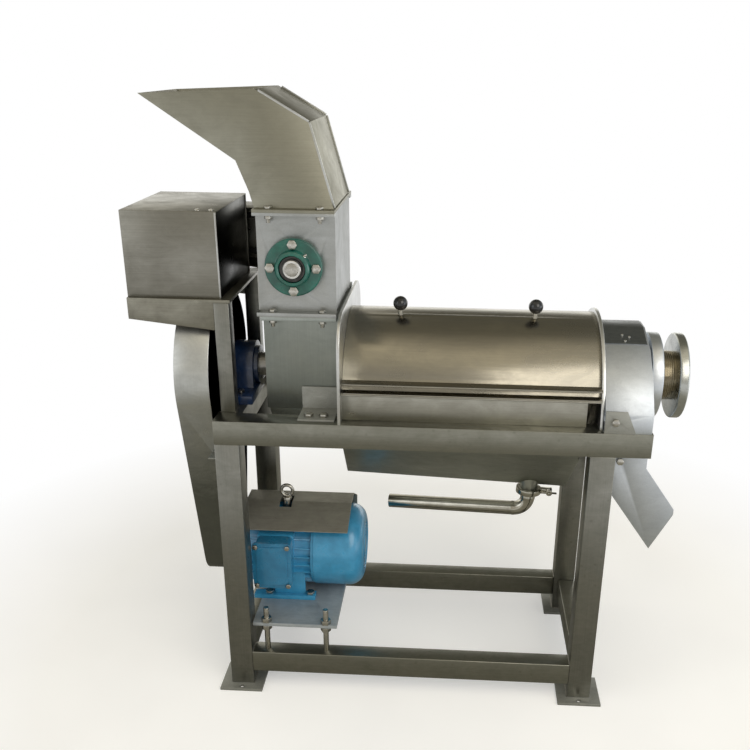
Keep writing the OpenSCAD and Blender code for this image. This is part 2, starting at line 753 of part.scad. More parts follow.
// Belt guard: a deep pan over both pulleys, open towards the stand, with fixing tabs to the legs
module belt_guard() color("silver") place() {
    difference() {
        along_x(guard_left, guard_right) polygon(loop_pts(main_c, guard_r, motor_c, guard_low_r));
        along_x(guard_left + sheet_t, guard_right + overrun)
            polygon(loop_pts(main_c, guard_r - sheet_t, motor_c, guard_low_r - sheet_t));
    }
    both_sides() difference() {
        union() {
            block(guard_right - guard_tab_w / 2, 0, -rail_in - guard_tab_w, 0,
                guard_tab_z, guard_tab_z + sheet_t);
            block(-sheet_t, 0, -rail_in - guard_tab_w, 0, guard_tab_z, guard_tab_z + guard_tab_w);
        }
        along_x(guard_left, overrun)
            polygon(loop_pts(main_c, guard_r - sheet_t, motor_c, guard_low_r - sheet_t));
    }
}

// Left end plate of the barrel with rounded upper corners and a tongue between the rails
module barrel_end_plate() color("silver") place() difference() {
    union() {
        along_x(end_plate_x, barrel_x) polygon(concat([[half_d, rail_top]],
            arc_pts([half_d - end_plate_r, rail_top + end_plate_h - end_plate_r], end_plate_r, 0, 90, 16),
            arc_pts([end_plate_r - half_d, rail_top + end_plate_h - end_plate_r], end_plate_r, 90, 180, 16),
            [[-half_d, rail_top]]));
        block(end_plate_x, barrel_x, -tongue_half, tongue_half, tongue_z, rail_top);
    }
    cyl_x(end_plate_x - overrun, barrel_x + overrun, feed_r, 0, shaft_z);
}

// Right ring flange of the barrel
module ring_flange() color("silver") place() difference() {
    union() {
        along_x(ring_x, outlet_x) intersection() {
            translate([0, arch_z]) circle(r = ring_r);
            translate([-ring_r, rail_top]) square([2 * ring_r, 2 * ring_r]);
        }
        block(ring_x, outlet_x, -tongue_half, tongue_half, tongue_z, rail_top);
    }
    cyl_x(ring_x - overrun, outlet_x + overrun, feed_r, 0, shaft_z);
}

lip_t = 3;
seam_rise = 61;
hem_rise = 79;
lip_out = 12;
panel_t = 3;
panel_end_in = 24;
seam_z = rail_top + seam_rise;
hem_z = rail_top + hem_rise;
panel_half = sqrt(cover_r * cover_r - (seam_rise - arch_rise) * (seam_rise - arch_rise));
lip_half = cover_r + lip_out;

// Side panels under the cover, with a lip that the cover rests on
module side_panels() color("silver") place() both_sides() {
    block(barrel_x, ring_x - panel_end_in, -panel_half, -panel_half + panel_t, rail_top, seam_z);
    block(barrel_x, ring_x - end_gap, -lip_half, -panel_half, seam_z - lip_t, seam_z);
}

knob_x0 = 107;
knob_x1 = 383;
knob_tilt = 10;
knob_rise = 25;
stem_r = 5;
stem_in = 6;
stem_l = knob_rise - knob_r + stem_in;
bead_inset = 2;

// Arched barrel cover with two outward lips along each hem and two welded studs
module barrel_cover() color("silver") place() {
    difference() {
        cyl_x(barrel_x + end_gap, ring_x - end_gap, cover_r, 0, arch_z);
        cyl_x(barrel_x - overrun, ring_x + overrun, cover_r - cover_t, 0, arch_z);
        block(barrel_x - overrun, ring_x + overrun, -half_d, half_d, arch_z - 2 * cover_r, seam_z);
    }
    both_sides() difference() {
        union() {
            block(barrel_x + end_gap, ring_x - end_gap, -lip_half, -panel_half + cover_t, seam_z, seam_z + lip_t);
            block(barrel_x + end_gap, ring_x - end_gap, -lip_half + bead_inset, -panel_half + lip_out, hem_z,
                hem_z + lip_t);
        }
        cyl_x(barrel_x - overrun, ring_x + overrun, cover_r - cover_t / 2, 0, arch_z);
    }
    for (x = [barrel_x + knob_x0, barrel_x + knob_x1]) translate([x, 0, arch_z]) rotate([knob_tilt, 0, 0])
        cyl_z(cover_r - cover_t / 2, cover_r + stem_l, stem_r);
}

// Black ball knobs on the cover's studs
module cover_knobs() color([0.05, 0.05, 0.06]) place()
    for (x = [barrel_x + knob_x0, barrel_x + knob_x1]) translate([x, 0, arch_z]) rotate([knob_tilt, 0, 0])
        difference() {
            translate([0, 0, cover_r + knob_rise]) sphere(r = knob_r);
            cyl_z(cover_r, cover_r + stem_l, stem_r + run_fit);
        }

basket_rings = 5;
slot_bays = 4;
slot_angles = 10;
slot_margin = 14;

// Screen basket round the screw: a slotted shell with stiffening rings
module screen_basket() color("silver") place() {
    bay = (barrel_l - basket_ring_w) / slot_bays;
    difference() {
        union() {
            cyl_x(barrel_x, ring_x, basket_r, 0, shaft_z);
            for (i = [0:basket_rings - 1])
                translate([i * (barrel_l - basket_ring_w) / (basket_rings - 1), 0, 0])
                    cyl_x(barrel_x, barrel_x + basket_ring_w, basket_ring_r, 0, shaft_z);
        }
        cyl_x(barrel_x - overrun, ring_x + overrun, feed_r, 0, shaft_z);
        for (b = [0:slot_bays - 1], i = [0:slot_angles - 1])
            translate([barrel_x + b * bay + slot_margin, 0, shaft_z]) rotate([i * 180 / slot_angles, 0, 0])
                block(0, bay - 2 * slot_margin + basket_ring_w, -slot_w / 2, slot_w / 2, -basket_ring_r,
                    basket_ring_r);
    }
}

shaft_tail = 6;
shaft_in = 5;
shaft_left = belt_x - pulley_w / 2 - shaft_tail;
shaft_right = disc_x - shaft_in;

// Screw shaft with its tapered core
module screw_shaft() color("lightgray") place() {
    cyl_x(shaft_left, shaft_right, shaft_r, 0, shaft_z);
    translate([flight_x, 0, shaft_z]) rotate([0, 90, 0])
        cylinder(h = flight_end - flight_x, r1 = core_r0, r2 = core_r1);
}

flight_steps_a_turn = 24;
flight_root_in = 3;
flight_root_r = core_r0 - flight_root_in;
flight_turns = (flight_end - flight_x - flight_t) / screw_pitch;
flight_steps = ceil(flight_turns * flight_steps_a_turn);
// Corners of the blade's section at each step round the helix
flight_points = [for (i = [0:flight_steps]) let(a = 360 * flight_turns * i / flight_steps,
    x = flight_x + flight_t / 2 + screw_pitch * a / 360)
    each [for (c = [[flight_root_r, -1], [screw_r, -1], [screw_r, 1], [flight_root_r, 1]])
        [x + c[1] * flight_t / 2, -c[0] * sin(a), shaft_z + c[0] * cos(a)]]];
flight_faces = concat([[3, 2, 1, 0]], [[for (k = [0:3]) 4 * flight_steps + k]],
    [for (i = [0:flight_steps - 1], k = [0:3], half = [0, 1]) let(a = 4 * i + k, b = 4 * i + (k + 1) % 4)
        half == 0 ? [a, b, b + 4] : [a, b + 4, a + 4]]);

// Helical flight welded round the core
module screw_flight() color("lightgray") place() polyhedron(points = flight_points, faces = flight_faces);

// Outlet chamber section: places across and above the rails
outlet_half = half_d - outlet_foot_t;
outlet_top_h = 166;
crease_half = 100;
crease_h = 140;
shoulder_half = 152;
shoulder_h = 100;
side_h = 40;
duct_half = 143;
duct_h = 95;
outlet_top_half = 24;
outlet_path = [[outlet_half, rail_top], [outlet_half, rail_top + side_h], [shoulder_half, rail_top + shoulder_h],
    [crease_half, rail_top + crease_h], [outlet_top_half, rail_top + outlet_top_h]];
outlet_outline = concat(outlet_path, reversed(mirrored(outlet_path)));
duct_x = outlet_x + sheet_t;
duct_t = 3;

// Outlet chamber on the rails, with a duct between the rails below
module outlet_chamber() color("gainsboro") place() {
    difference() {
        along_x(outlet_x, outlet_end) polygon(outlet_outline);
        along_x(outlet_x - overrun, outlet_end - outlet_t)
            polygon(reversed(beside(reversed(concat([[outlet_half, rail_top - outlet_t]], outlet_outline,
                [[-outlet_half, rail_top - outlet_t]])), -outlet_t)));
        cyl_x(outlet_end - 2 * outlet_t, outlet_end + overrun, sleeve_r + bolt_fit, 0, shaft_z);
        both_sides() translate([outlet_bolt_x, -outlet_half, outlet_bolt_z])
            cyl_y(-overrun, 2 * outlet_t, m8 / 2 + bolt_fit);
    }
    difference() {
        union() {
            block(outlet_x, outlet_end, -outlet_half + outlet_t, outlet_half - outlet_t, rail_top,
                rail_top + duct_t);
            block(duct_x, outlet_end, -duct_half, duct_half, rail_top - duct_h, rail_top);
        }
        block(duct_x + duct_t, outlet_end - duct_t, -duct_half + duct_t, duct_half - duct_t,
            rail_top - duct_h - overrun, rail_top + 2 * duct_t);
        cyl_x(outlet_x - overrun, duct_x + 2 * duct_t, feed_r, 0, shaft_z);
        both_sides() translate([chute_bolt_x, -duct_half, chute_bolt_z])
            cyl_y(-overrun, 2 * duct_t, m8 / 2 + bolt_fit);
    }
}

neck_r = 62;

// Gland housing on the outlet chamber's end wall, with the thread for the sleeve
module gland_housing() color("lightgray") place() difference() {
    union() {
        cyl_x(outlet_end, gland_x, neck_r, 0, shaft_z);
        cyl_x(gland_x, gland_end, disc_r, 0, shaft_z);
    }
    cyl_x(outlet_end - overrun, gland_end + overrun, sleeve_r + 2 * run_fit, 0, shaft_z);
}

cone_in = 14;
cone_x = outlet_x + cone_in;
cone_nose_r = 78;
cone_taper_l = 34;
cone_tail_l = 24;
cone_end = cone_x + cone_taper_l + cone_tail_l;
sleeve_bore_r = 34;

// Pressure cone that slides on the shaft and throttles the pomace
module pressure_cone() color("lightgray") place() difference() {
    union() {
        translate([cone_x, 0, shaft_z]) rotate([0, 90, 0])
            cylinder(h = cone_taper_l, r1 = cone_nose_r, r2 = cone_r);
        cyl_x(cone_x + cone_taper_l, cone_end, cone_r, 0, shaft_z);
    }
    cyl_x(cone_x - overrun, cone_end + overrun, shaft_r + run_fit, 0, shaft_z);
}

// Threaded sleeve between cone and hand disc
module threaded_sleeve() color([0.45, 0.4, 0.3]) place() difference() {
    cyl_x(cone_end, disc_x, sleeve_r, 0, shaft_z);
    cyl_x(cone_end - overrun, disc_x + overrun, sleeve_bore_r, 0, shaft_z);
}

disc_bore_r = 28;
disc_edge = 4;

// Hand disc on the sleeve's end, chamfered on its rim
module hand_disc() color("silver") place() turned_x(disc_x, shaft_z)
    polygon([[disc_bore_r, 0], [disc_r - disc_edge, 0], [disc_r, disc_edge], [disc_r, disc_t - disc_edge],
        [disc_r - disc_edge, disc_t], [disc_bore_r, disc_t]]);

// Pomace chute outline below the rails
chute_half = duct_half + sheet_t;
chute_left = duct_x - sheet_t;
chute_over = 10;
chute_drop = 40;
notch_drop = 97;
chute_right = outlet_end + chute_over;
chute_high = rail_top - chute_drop;
chute_notch = rail_top - notch_drop;
chute_tip_h = 12;
chute_side_l = 113;
chute_mouth_l = 92;
chute_mouth_slope = 63;
chute_c = [chute_right + chute_side_l * cos(chute_slope), chute_notch - chute_side_l * sin(chute_slope)];
chute_e = chute_c - [0, chute_tip_h];
chute_f = chute_e - chute_mouth_l * [cos(chute_mouth_slope), sin(chute_mouth_slope)];
chute_g = [chute_left, chute_f[1] + (chute_f[0] - chute_left) * tan(chute_slope)];
chute_outline = [[chute_left, chute_high], [chute_right, chute_high], [chute_right, chute_notch], chute_c, chute_e,
    chute_f, chute_g];
chute_bolt_in = 48;
chute_bolt_drop = 82;
chute_bolt_x = outlet_x + chute_bolt_in;
chute_bolt_z = rail_top - chute_bolt_drop;

// Pomace chute: two side plates, the sloping floor and a left wall
module pomace_chute() color("gainsboro") place() {
    both_sides() difference() {
        along_y(-chute_half, -duct_half) polygon(chute_outline);
        translate([chute_bolt_x, -duct_half, chute_bolt_z]) cyl_y(-duct_t, duct_t, m8 / 2 + bolt_fit);
    }
    along_y(-duct_half, duct_half)
        polygon(sheet_pts([[chute_left, chute_high], chute_g, chute_f], sheet_t));
}

trough_x = end_plate_x;
trough_l = 491;
trough_flange = 32;
spout_end = 81;
spout_x = trough_l - spout_end;
spout_r = 19;
spout_bore_r = 15;
spout_l = 14;
trough_low = rail_low - trough_h;
trough_half = rail_in;

// V section of the trough, moved inwards by t: flanges on the rails' inner faces, then two sloping sides
module trough_section(t, up) polygon(beside([[-trough_half, trough_flange + up], [-trough_half, 0],
    [0, -trough_h], [trough_half, 0], [trough_half, trough_flange + up]], t));

// Juice trough, tilted so that the juice runs to the right
module juice_trough() color("silver") place() translate([trough_x, 0, rail_low]) rotate([0, trough_slope, 0])
    difference() {
        union() {
            difference() {
                along_x(0, trough_l) trough_section(0, 0);
                along_x(sheet_t, trough_l - sheet_t) trough_section(sheet_t, overrun);
                block(-overrun, sheet_t + overrun, -trough_half, trough_half, -trough_flange / 2,
                    2 * trough_flange);
                block(trough_l - sheet_t - overrun, trough_l + overrun, -trough_half, trough_half,
                    -trough_flange / 2, 2 * trough_flange);
            }
            cyl_z(-trough_h - spout_l, -trough_h + spout_r, spout_r, spout_x, 0);
        }
        intersection() {
            cyl_z(-trough_h - spout_r, -trough_h + 2 * spout_r, spout_r + overrun, spout_x, 0);
            along_x(sheet_t, trough_l - sheet_t) trough_section(sheet_t, overrun);
        }
        cyl_z(-trough_h - 2 * spout_l, -trough_h + 2 * spout_r, spout_bore_r, spout_x, 0);
    }

spout_world_x = trough_x + spout_x * cos(trough_slope) - (trough_h + spout_l) * sin(trough_slope);
spout_world_z = rail_low - spout_x * sin(trough_slope) - (trough_h + spout_l) * cos(trough_slope);

clamp_r = 28;
clamp_h = 12;
clamp_bore_r = spout_r + gap;
clamp_ear_w = 12;
clamp_ear_l = 24;
clamp_bolt_r = 3;
wing_r = 7;
clamp_bolt_x = clamp_r + clamp_ear_l - wing_r;

// Everything at the spout is drawn from the spout's mouth
module at_spout() translate([spout_world_x, 0, spout_world_z]) rotate([0, trough_slope, 0]) children();

// Clamp ring round spout and pipe ferrule, with its ears and bolt
module clamp_ring() color("silver") place() at_spout() {
    difference() {
        union() {
            cyl_z(-clamp_h / 2, clamp_h / 2, clamp_r);
            block(spout_r, clamp_r + clamp_ear_l, -clamp_ear_w / 2, clamp_ear_w / 2, -clamp_h / 2, clamp_h / 2);
        }
        cyl_z(-clamp_h, clamp_h, clamp_bore_r);
    }
    cyl_y(-clamp_ear_w / 2 - clamp_ear_w, -clamp_ear_w / 2, clamp_bolt_r, clamp_bolt_x, 0);
}

wing_l = 8;
wing_span = 34;
wing_t = 3;

// Wing nut on the clamp's bolt
module clamp_wing_nut() color("silver") place() at_spout()
    translate([clamp_bolt_x, -clamp_ear_w / 2, 0]) difference() {
        union() {
            cyl_y(-wing_l, 0, wing_r);
            block(-wing_span / 2, wing_span / 2, -wing_l, -wing_l / 2, -wing_t / 2, wing_t / 2);
        }
        cyl_y(-2 * wing_l, overrun, clamp_bolt_r + run_fit);
    }

pipe_bore_r = 14;
bend_r = 34;
drop_l = 18;
pipe_slope = 3.5;
bend_a = 90 - pipe_slope - trough_slope;
ferrule_r = spout_r;
ferrule_l = 4;

bead_r = pipe_r + bolt_fit;
bead_half = 3;

// Drop, bend and straight run of the juice pipe at radius r, their ends passed by the given length
module pipe_run(r, past) {
    cyl_z(-drop_l, past, r);
    translate([bend_r, 0, -drop_l]) rotate([90, 0, 0]) rotate([0, 0, 180])
        rotate_extrude(angle = bend_a) translate([bend_r, 0]) circle(r = r);
    after_bend() cyl_x(0, pipe_l + past, r);
}
module after_bend() translate([bend_r - bend_r * cos(bend_a), 0, -drop_l - bend_r * sin(bend_a)])
    rotate([0, 90 - bend_a, 0]) children();

// Juice pipe: a short drop below the clamp, a bend with a weld at each end and a long straight run
module juice_pipe() color("silver") place() at_spout() rotate([0, 0, 180 - pipe_swing]) difference() {
    union() {
        cyl_z(-ferrule_l, 0, ferrule_r);
        cyl_z(-drop_l - bead_half, -drop_l + bead_half, bead_r);
        after_bend() cyl_x(-bead_half, bead_half, bead_r);
        pipe_run(pipe_r, 0);
    }
    pipe_run(pipe_bore_r, overrun);
}

plate_gap = 3;
plate_inset = 12;
plate_x0 = tube_w + plate_gap;
plate_x1 = 238;
plate_half = half_d - plate_inset;
motor_foot_x0 = 36;
motor_foot_x1 = 176;
motor_foot_half = 80;
motor_foot_w = 24;
motor_foot_t = 10;

// Motor plate with holes for the lifting rods and the motor's feet
module base_plate() color("silver") place() difference() {
    block(plate_x0, plate_x1, -plate_half, plate_half, plate_low, plate_top);
    for (x = [rod_x0, rod_x1], y = [-rod_y, rod_y]) translate([x, y, plate_top]) bolt_hole(2 * rod_r, 2 * plate_t);
    for (x = [motor_hole_x0, motor_hole_x1], y = [-motor_foot_half, motor_foot_half])
        translate([x, y, plate_top]) bolt_hole(m10, 2 * plate_t);
}

motor_hole_x0 = 70;
motor_hole_x1 = 164;
fin_count = 28;
fin_t = 2.5;
fin_h = 8;
stator_bore_r = 58;
shield_wall = 10;

// Motor body: ribbed barrel with end shields and feet
module motor_body() color([0.15, 0.42, 0.58]) place() difference() {
    union() {
        cyl_x(motor_x0, cowl_x0 + shield_wall, motor_barrel_r, 0, motor_z);
        cyl_x(cowl_x0, cowl_x0 + shield_wall, cowl_r - cowl_t - run_fit, 0, motor_z);
        for (i = [0:fin_count - 1]) translate([0, 0, motor_z]) rotate([(i + 0.5) * 360 / fin_count, 0, 0])
            block(motor_fin_x0, motor_fin_x1, -fin_t / 2, fin_t / 2, motor_barrel_r - fin_h, motor_barrel_r + fin_h);
        for (side = [-1, 1]) {
            block(motor_foot_x0, motor_foot_x1, side * motor_foot_half - motor_foot_w / 2,
                side * motor_foot_half + motor_foot_w / 2, plate_top, plate_top + motor_foot_t);
            block(motor_hole_x0 + motor_foot_w / 2, motor_hole_x1 - motor_foot_w / 2,
                side * (motor_foot_half - motor_foot_w / 4) - motor_foot_t / 2,
                side * (motor_foot_half - motor_foot_w / 4) + motor_foot_t / 2, plate_top,
                motor_z - motor_barrel_r / 3);
        }
        cyl_z(motor_z + motor_barrel_r / 2, motor_z + motor_barrel_r + fin_h, eye_collar_r, eye_x, 0);
        block(box_mid_x - term_l / 2, box_mid_x + term_l / 2, -term_root, -motor_barrel_r / 2,
            motor_z + term_up - term_h / 2, motor_z + term_up + term_h / 2);
    }
    cyl_x(motor_x0 + shield_wall, cowl_x0, stator_bore_r, 0, motor_z);
    cyl_x(motor_x0 - overrun, cowl_x0 + 2 * shield_wall, motor_shaft_r + run_fit, 0, motor_z);
    for (x = [motor_hole_x0, motor_hole_x1], y = [-motor_foot_half, motor_foot_half])
        translate([x, y, plate_top]) bolt_hole(m10, motor_foot_t + fin_h);
    cyl_z(motor_z + motor_barrel_r - eye_depth, motor_z + 2 * motor_barrel_r, m8 / 2 + run_fit, eye_x, 0);
}

box_mid_x = 91;
term_l = 78;
term_h = 104;
term_up = 14;
term_root = 95;
term_front = 132;
term_wall = 3;
lid_t = 8;
lid_over = 4;

// Terminal box on the motor's front side
module terminal_box() color([0.15, 0.42, 0.58]) place() difference() {
    block(box_mid_x - term_l / 2, box_mid_x + term_l / 2, -term_front, -term_root,
        motor_z + term_up - term_h / 2, motor_z + term_up + term_h / 2);
    block(box_mid_x - term_l / 2 + term_wall, box_mid_x + term_l / 2 - term_wall, -term_front - overrun,
        -term_root - term_wall, motor_z + term_up - term_h / 2 + term_wall, motor_z + term_up + term_h / 2 - term_wall);
}

lid_screw_in = 8;
lid_half_l = term_l / 2 + lid_over;
lid_half_h = term_h / 2 + lid_over;

// Lid of the terminal box
module terminal_lid() color([0.15, 0.42, 0.58]) place() translate([box_mid_x, -term_front, motor_z + term_up])
    difference() {
        block(-lid_half_l, lid_half_l, -lid_t, 0, -lid_half_h, lid_half_h);
        for (x = [-1, 1], z = [-1, 1])
            translate([x * (lid_half_l - lid_screw_in), 0, z * (lid_half_h - lid_screw_in)])
                cyl_y(-2 * lid_t, overrun, m6 / 2 + run_fit);
    }

cowl_t = 1.5;
grille_r = 60;
grille_slots = 12;

// Fan cowl over the motor's right end, with air slots in its end
module fan_cowl() color([0.15, 0.42, 0.58]) place() difference() {
    cyl_x(cowl_x0 + shield_wall / 2, cowl_x1, cowl_r, 0, motor_z);
    cyl_x(cowl_x0, cowl_x1 - cowl_t, cowl_r - cowl_t, 0, motor_z);
    for (i = [0:grille_slots - 1]) translate([cowl_x1, 0, motor_z]) rotate([i * 360 / grille_slots, 0, 0])
        block(-2 * cowl_t, cowl_t, -slot_w, slot_w, grille_r / 3, grille_r);
}

fan_r = 80;
fan_x0 = 196;
fan_t = 4;
fan_blades = 8;
fan_blade_l = 30;
blade_root_r = 21;

// Cooling fan on the motor's shaft
module motor_fan() color([0.12, 0.12, 0.12]) place() translate([fan_x0, 0, motor_z]) difference() {
    union() {
        cyl_x(0, fan_t, fan_r);
        cyl_x(0, fan_blade_l, 2 * motor_shaft_r);
        for (i = [0:fan_blades - 1]) rotate([i * 360 / fan_blades, 0, 0])
            block(0, fan_blade_l, -fan_t / 2, fan_t / 2, blade_root_r, fan_r);
    }
    cyl_x(-overrun, fan_blade_l + overrun, motor_shaft_r + run_fit);
}

rotor_gap = 8;
air_gap = 3;
motor_shaft_left = belt_x - pulley_w / 2;
motor_shaft_right = fan_x0 + fan_blade_l;

// Motor shaft with its rotor
module motor_shaft() color("gray") place() {
    cyl_x(motor_shaft_left, motor_shaft_right, motor_shaft_r, 0, motor_z);
    cyl_x(motor_x0 + shield_wall + rotor_gap, cowl_x0 - rotor_gap, stator_bore_r - air_gap, 0, motor_z);
}

module motor_pulley() color("dimgray") place() translate([belt_x, 0, motor_z]) rotate([0, 90, 0])
    grooved_pulley(motor_pulley_r, pulley_w, motor_shaft_r + run_fit, [-belt_pitch / 2, belt_pitch / 2]);

rod_over = 35;

// Threaded lifting rods that stand on the lower rails
module lifting_rods() color("silver") place()
    for (x = [rod_x0, rod_x1], y = [-rod_y, rod_y])
        cyl_z(low_rail_top, plate_top + rod_over, rod_r, x, y);

// Nuts above and below the motor plate
module lifting_nuts() color("silver") place()
    for (x = [rod_x0, rod_x1], y = [-rod_y, rod_y]) {
        translate([x, y, plate_top]) hex_nut(2 * rod_r);
        translate([x, y, plate_low - bolt_nut_share * 2 * rod_r]) hex_nut(2 * rod_r);
    }

motor_top_gap = 17;
mcover_x0 = 12;
mcover_x1 = 254;
mcover_front = 100;
mcover_front_fold = 12;
mcover_rear_fold = 40;
mcover_rear = 106;
mcover_front_fall = 29;
mcover_rear_fall = 37;
mcover_lap = 55;
mcover_z = motor_z + cowl_r + motor_top_gap;
mcover_rear_z = mcover_z - mcover_rear_fall;
mcover_foot = 24;
notch_half = 14;
notch_rear = 16;
notch_front = 30;

// Cover over the motor, folded along its top and standing on the motor plate behind the motor
module motor_cover() color("silver") place() difference() {
    union() {
        along_x(mcover_x0, mcover_x1) polygon(sheet_pts([[-mcover_front, mcover_z - mcover_front_fall],
            [-mcover_front_fold, mcover_z], [mcover_rear_fold, mcover_z], [mcover_rear, mcover_rear_z],
            [mcover_rear, plate_top + mcover_lap]], -sheet_t));
        along_x(plate_x0, plate_x1) polygon(sheet_pts([[mcover_rear, mcover_rear_z - mcover_lap],
            [mcover_rear, plate_top], [mcover_rear + mcover_foot, plate_top]], sheet_t));
    }
    block(eye_x - notch_half, eye_x + notch_half, -notch_front, notch_rear, mcover_z - mcover_front_fall,
        mcover_z + overrun);
}

eye_x = 104;
eye_depth = 12;
eye_ring_r = 13;
eye_bar_r = 4;
eye_collar_r = 11;
eye_collar_h = 26;

// Eyebolt on top of the motor
module eyebolt() color("silver") place() translate([eye_x, 0, motor_z + motor_barrel_r + fin_h]) {
    cyl_z(-fin_h - eye_depth + overrun, 0, m8 / 2);
    cyl_z(0, eye_collar_h, eye_collar_r);
    translate([0, 0, eye_collar_h + eye_ring_r + eye_bar_r / 2]) rotate([90, 0, 0])
        rotate_extrude() translate([eye_ring_r, 0]) circle(r = eye_bar_r);
}

// Bolts of the motor's feet and screws of the terminal lid
module motor_screws() color("silver") place() {
    for (x = [motor_hole_x0, motor_hole_x1], y = [-motor_foot_half, motor_foot_half])
        translate([x, y, plate_top + motor_foot_t]) hex_bolt(m10, motor_foot_t + plate_t, plate_t / 2);
    for (x = [-1, 1], z = [-1, 1])
        translate([box_mid_x + x * (lid_half_l - lid_screw_in), -term_front - lid_t,
            motor_z + term_up + z * (lid_half_h - lid_screw_in)]) rotate([90, 0, 0])
                hex_bolt(m6, lid_t - overrun, 0);
}

bolt_tail = 14;

// Bolts of flanges, bearings, rails and outlet
module hex_bolts() color("silver") place() {
    for (x = strip_bolt_x, side = [-1, 1]) {
        translate([x, side * strip_bolt_y, hopper_low + strip_t]) hex_bolt(m8, 2 * strip_t, bolt_tail);
        translate([x, side * strip_bolt_y, box_low + chamber_flange_t])
            hex_bolt(m8, 2 * chamber_flange_t, bolt_tail);
    }
    both_sides() for (a = [0:90:270])
        translate([crusher_x + bearing_bolt_r * cos(a), -box_half - bearing_t, crusher_z + bearing_bolt_r * sin(a)])
            rotate([90, 0, 0]) hex_bolt(m10, bearing_t + box_t, bolt_tail);
    both_sides() for (i = [0, 1])
        translate([foot_bolt_x0 + i * foot_bolt_pitch, -foot_bolt_y, rail_top + foot_plate_angle_t])
            hex_bolt(m10, foot_plate_angle_t + tube_t, bolt_tail);
    for (y = [-pillow_bolt_y, pillow_bolt_y]) translate([pillow_x, y, rail_top + pillow_base_t])
        hex_bolt(m10, pillow_base_t + tube_t, bolt_tail);
    both_sides() {
        translate([outlet_bolt_x, -half_d, outlet_bolt_z]) rotate([90, 0, 0])
            hex_bolt(m8, outlet_foot_t + outlet_t, bolt_tail);
        translate([chute_bolt_x, -chute_half, chute_bolt_z]) rotate([90, 0, 0])
            hex_bolt(m8, sheet_t + duct_t, bolt_tail / 2);
    }
}

// Nuts of the flange bolts and of the bearing bolts
module hex_nuts() color("silver") place() {
    for (x = strip_bolt_x, side = [-1, 1]) {
        translate([x, side * strip_bolt_y, box_top - bolt_nut_share * m8]) hex_nut(m8);
        translate([x, side * strip_bolt_y, chamber_top - chamber_flange_t - bolt_nut_share * m8]) hex_nut(m8);
    }
    both_sides() for (a = [0:90:270])
        translate([crusher_x + bearing_bolt_r * cos(a), -box_half + box_t + bolt_nut_share * m10,
            crusher_z + bearing_bolt_r * sin(a)]) rotate([90, 0, 0]) hex_nut(m10);
}

legs();
foot_plates();
upper_rails();
lower_rails();
crusher_posts();
hood_shelf();
hood();
hood_end_plate();
crusher_motor();
crusher_motor_shaft();
crusher_motor_pulley();
crusher_belt();
crusher_belt_guard();
crusher_pulley();
crusher_shaft();
crusher_knives();
crusher_box();
hopper();
flange_bearings();
bearing_inserts();
hex_bolts();
hex_nuts();
inlet_chamber();
rail_feet();
pillow_bearing();
shaft_seal();
main_pulley();
drive_belts();
belt_guard();
barrel_end_plate();
ring_flange();
side_panels();
barrel_cover();
cover_knobs();
screen_basket();
screw_shaft();
screw_flight();
outlet_chamber();
gland_housing();
pressure_cone();
threaded_sleeve();
hand_disc();
pomace_chute();
juice_trough();
clamp_ring();
clamp_wing_nut();
juice_pipe();
base_plate();
motor_body();
terminal_box();
terminal_lid();
fan_cowl();
motor_fan();
motor_shaft();
motor_pulley();
lifting_rods();
lifting_nuts();
motor_cover();
eyebolt();
motor_screws();
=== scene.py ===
"""Screw press juicer with a crusher on its inlet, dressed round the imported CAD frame.

The sections follow the machine as it is put together: stand, hood, crusher and its drive, guards,
press barrel, outlet, juice way, main motor, fasteners, then the studio. Lengths are in metres.
"""

import json
import math

import bmesh
import bpy
from mathutils import Matrix, Vector

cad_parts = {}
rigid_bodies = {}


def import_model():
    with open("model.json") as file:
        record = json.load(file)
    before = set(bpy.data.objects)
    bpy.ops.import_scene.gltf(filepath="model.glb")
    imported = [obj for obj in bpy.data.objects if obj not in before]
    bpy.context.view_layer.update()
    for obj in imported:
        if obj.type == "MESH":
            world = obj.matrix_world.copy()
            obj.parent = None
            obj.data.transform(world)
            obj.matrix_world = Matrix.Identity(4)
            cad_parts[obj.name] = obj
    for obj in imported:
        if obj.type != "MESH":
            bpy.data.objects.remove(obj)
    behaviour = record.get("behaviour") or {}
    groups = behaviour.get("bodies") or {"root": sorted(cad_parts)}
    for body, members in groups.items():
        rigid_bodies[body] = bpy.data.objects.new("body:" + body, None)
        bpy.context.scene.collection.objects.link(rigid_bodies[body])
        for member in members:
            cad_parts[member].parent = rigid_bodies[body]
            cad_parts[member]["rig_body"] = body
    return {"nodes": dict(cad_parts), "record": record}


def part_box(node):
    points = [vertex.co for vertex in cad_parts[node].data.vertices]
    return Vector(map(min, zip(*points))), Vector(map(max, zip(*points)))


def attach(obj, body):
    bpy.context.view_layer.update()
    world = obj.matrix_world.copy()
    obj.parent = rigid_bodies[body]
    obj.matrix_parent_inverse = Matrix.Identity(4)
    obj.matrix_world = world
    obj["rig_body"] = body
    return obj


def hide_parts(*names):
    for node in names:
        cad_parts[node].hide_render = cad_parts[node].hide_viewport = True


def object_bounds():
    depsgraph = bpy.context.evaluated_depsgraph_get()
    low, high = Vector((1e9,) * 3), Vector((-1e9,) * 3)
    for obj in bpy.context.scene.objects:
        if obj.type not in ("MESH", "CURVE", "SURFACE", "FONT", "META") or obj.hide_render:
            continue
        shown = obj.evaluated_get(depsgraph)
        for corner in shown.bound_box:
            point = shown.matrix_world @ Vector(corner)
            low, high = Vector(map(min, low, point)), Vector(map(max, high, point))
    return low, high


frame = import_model()
cad_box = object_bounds()
mm = 0.001

# ---------------------------------------------------------------- Stand tubes and plates
# Square stainless tube and flat plate, grade 304 with a mill finish, sawn, MIG welded and
# then ground by hand, so the tube keeps its drawn lines and the joints show lighter patches.


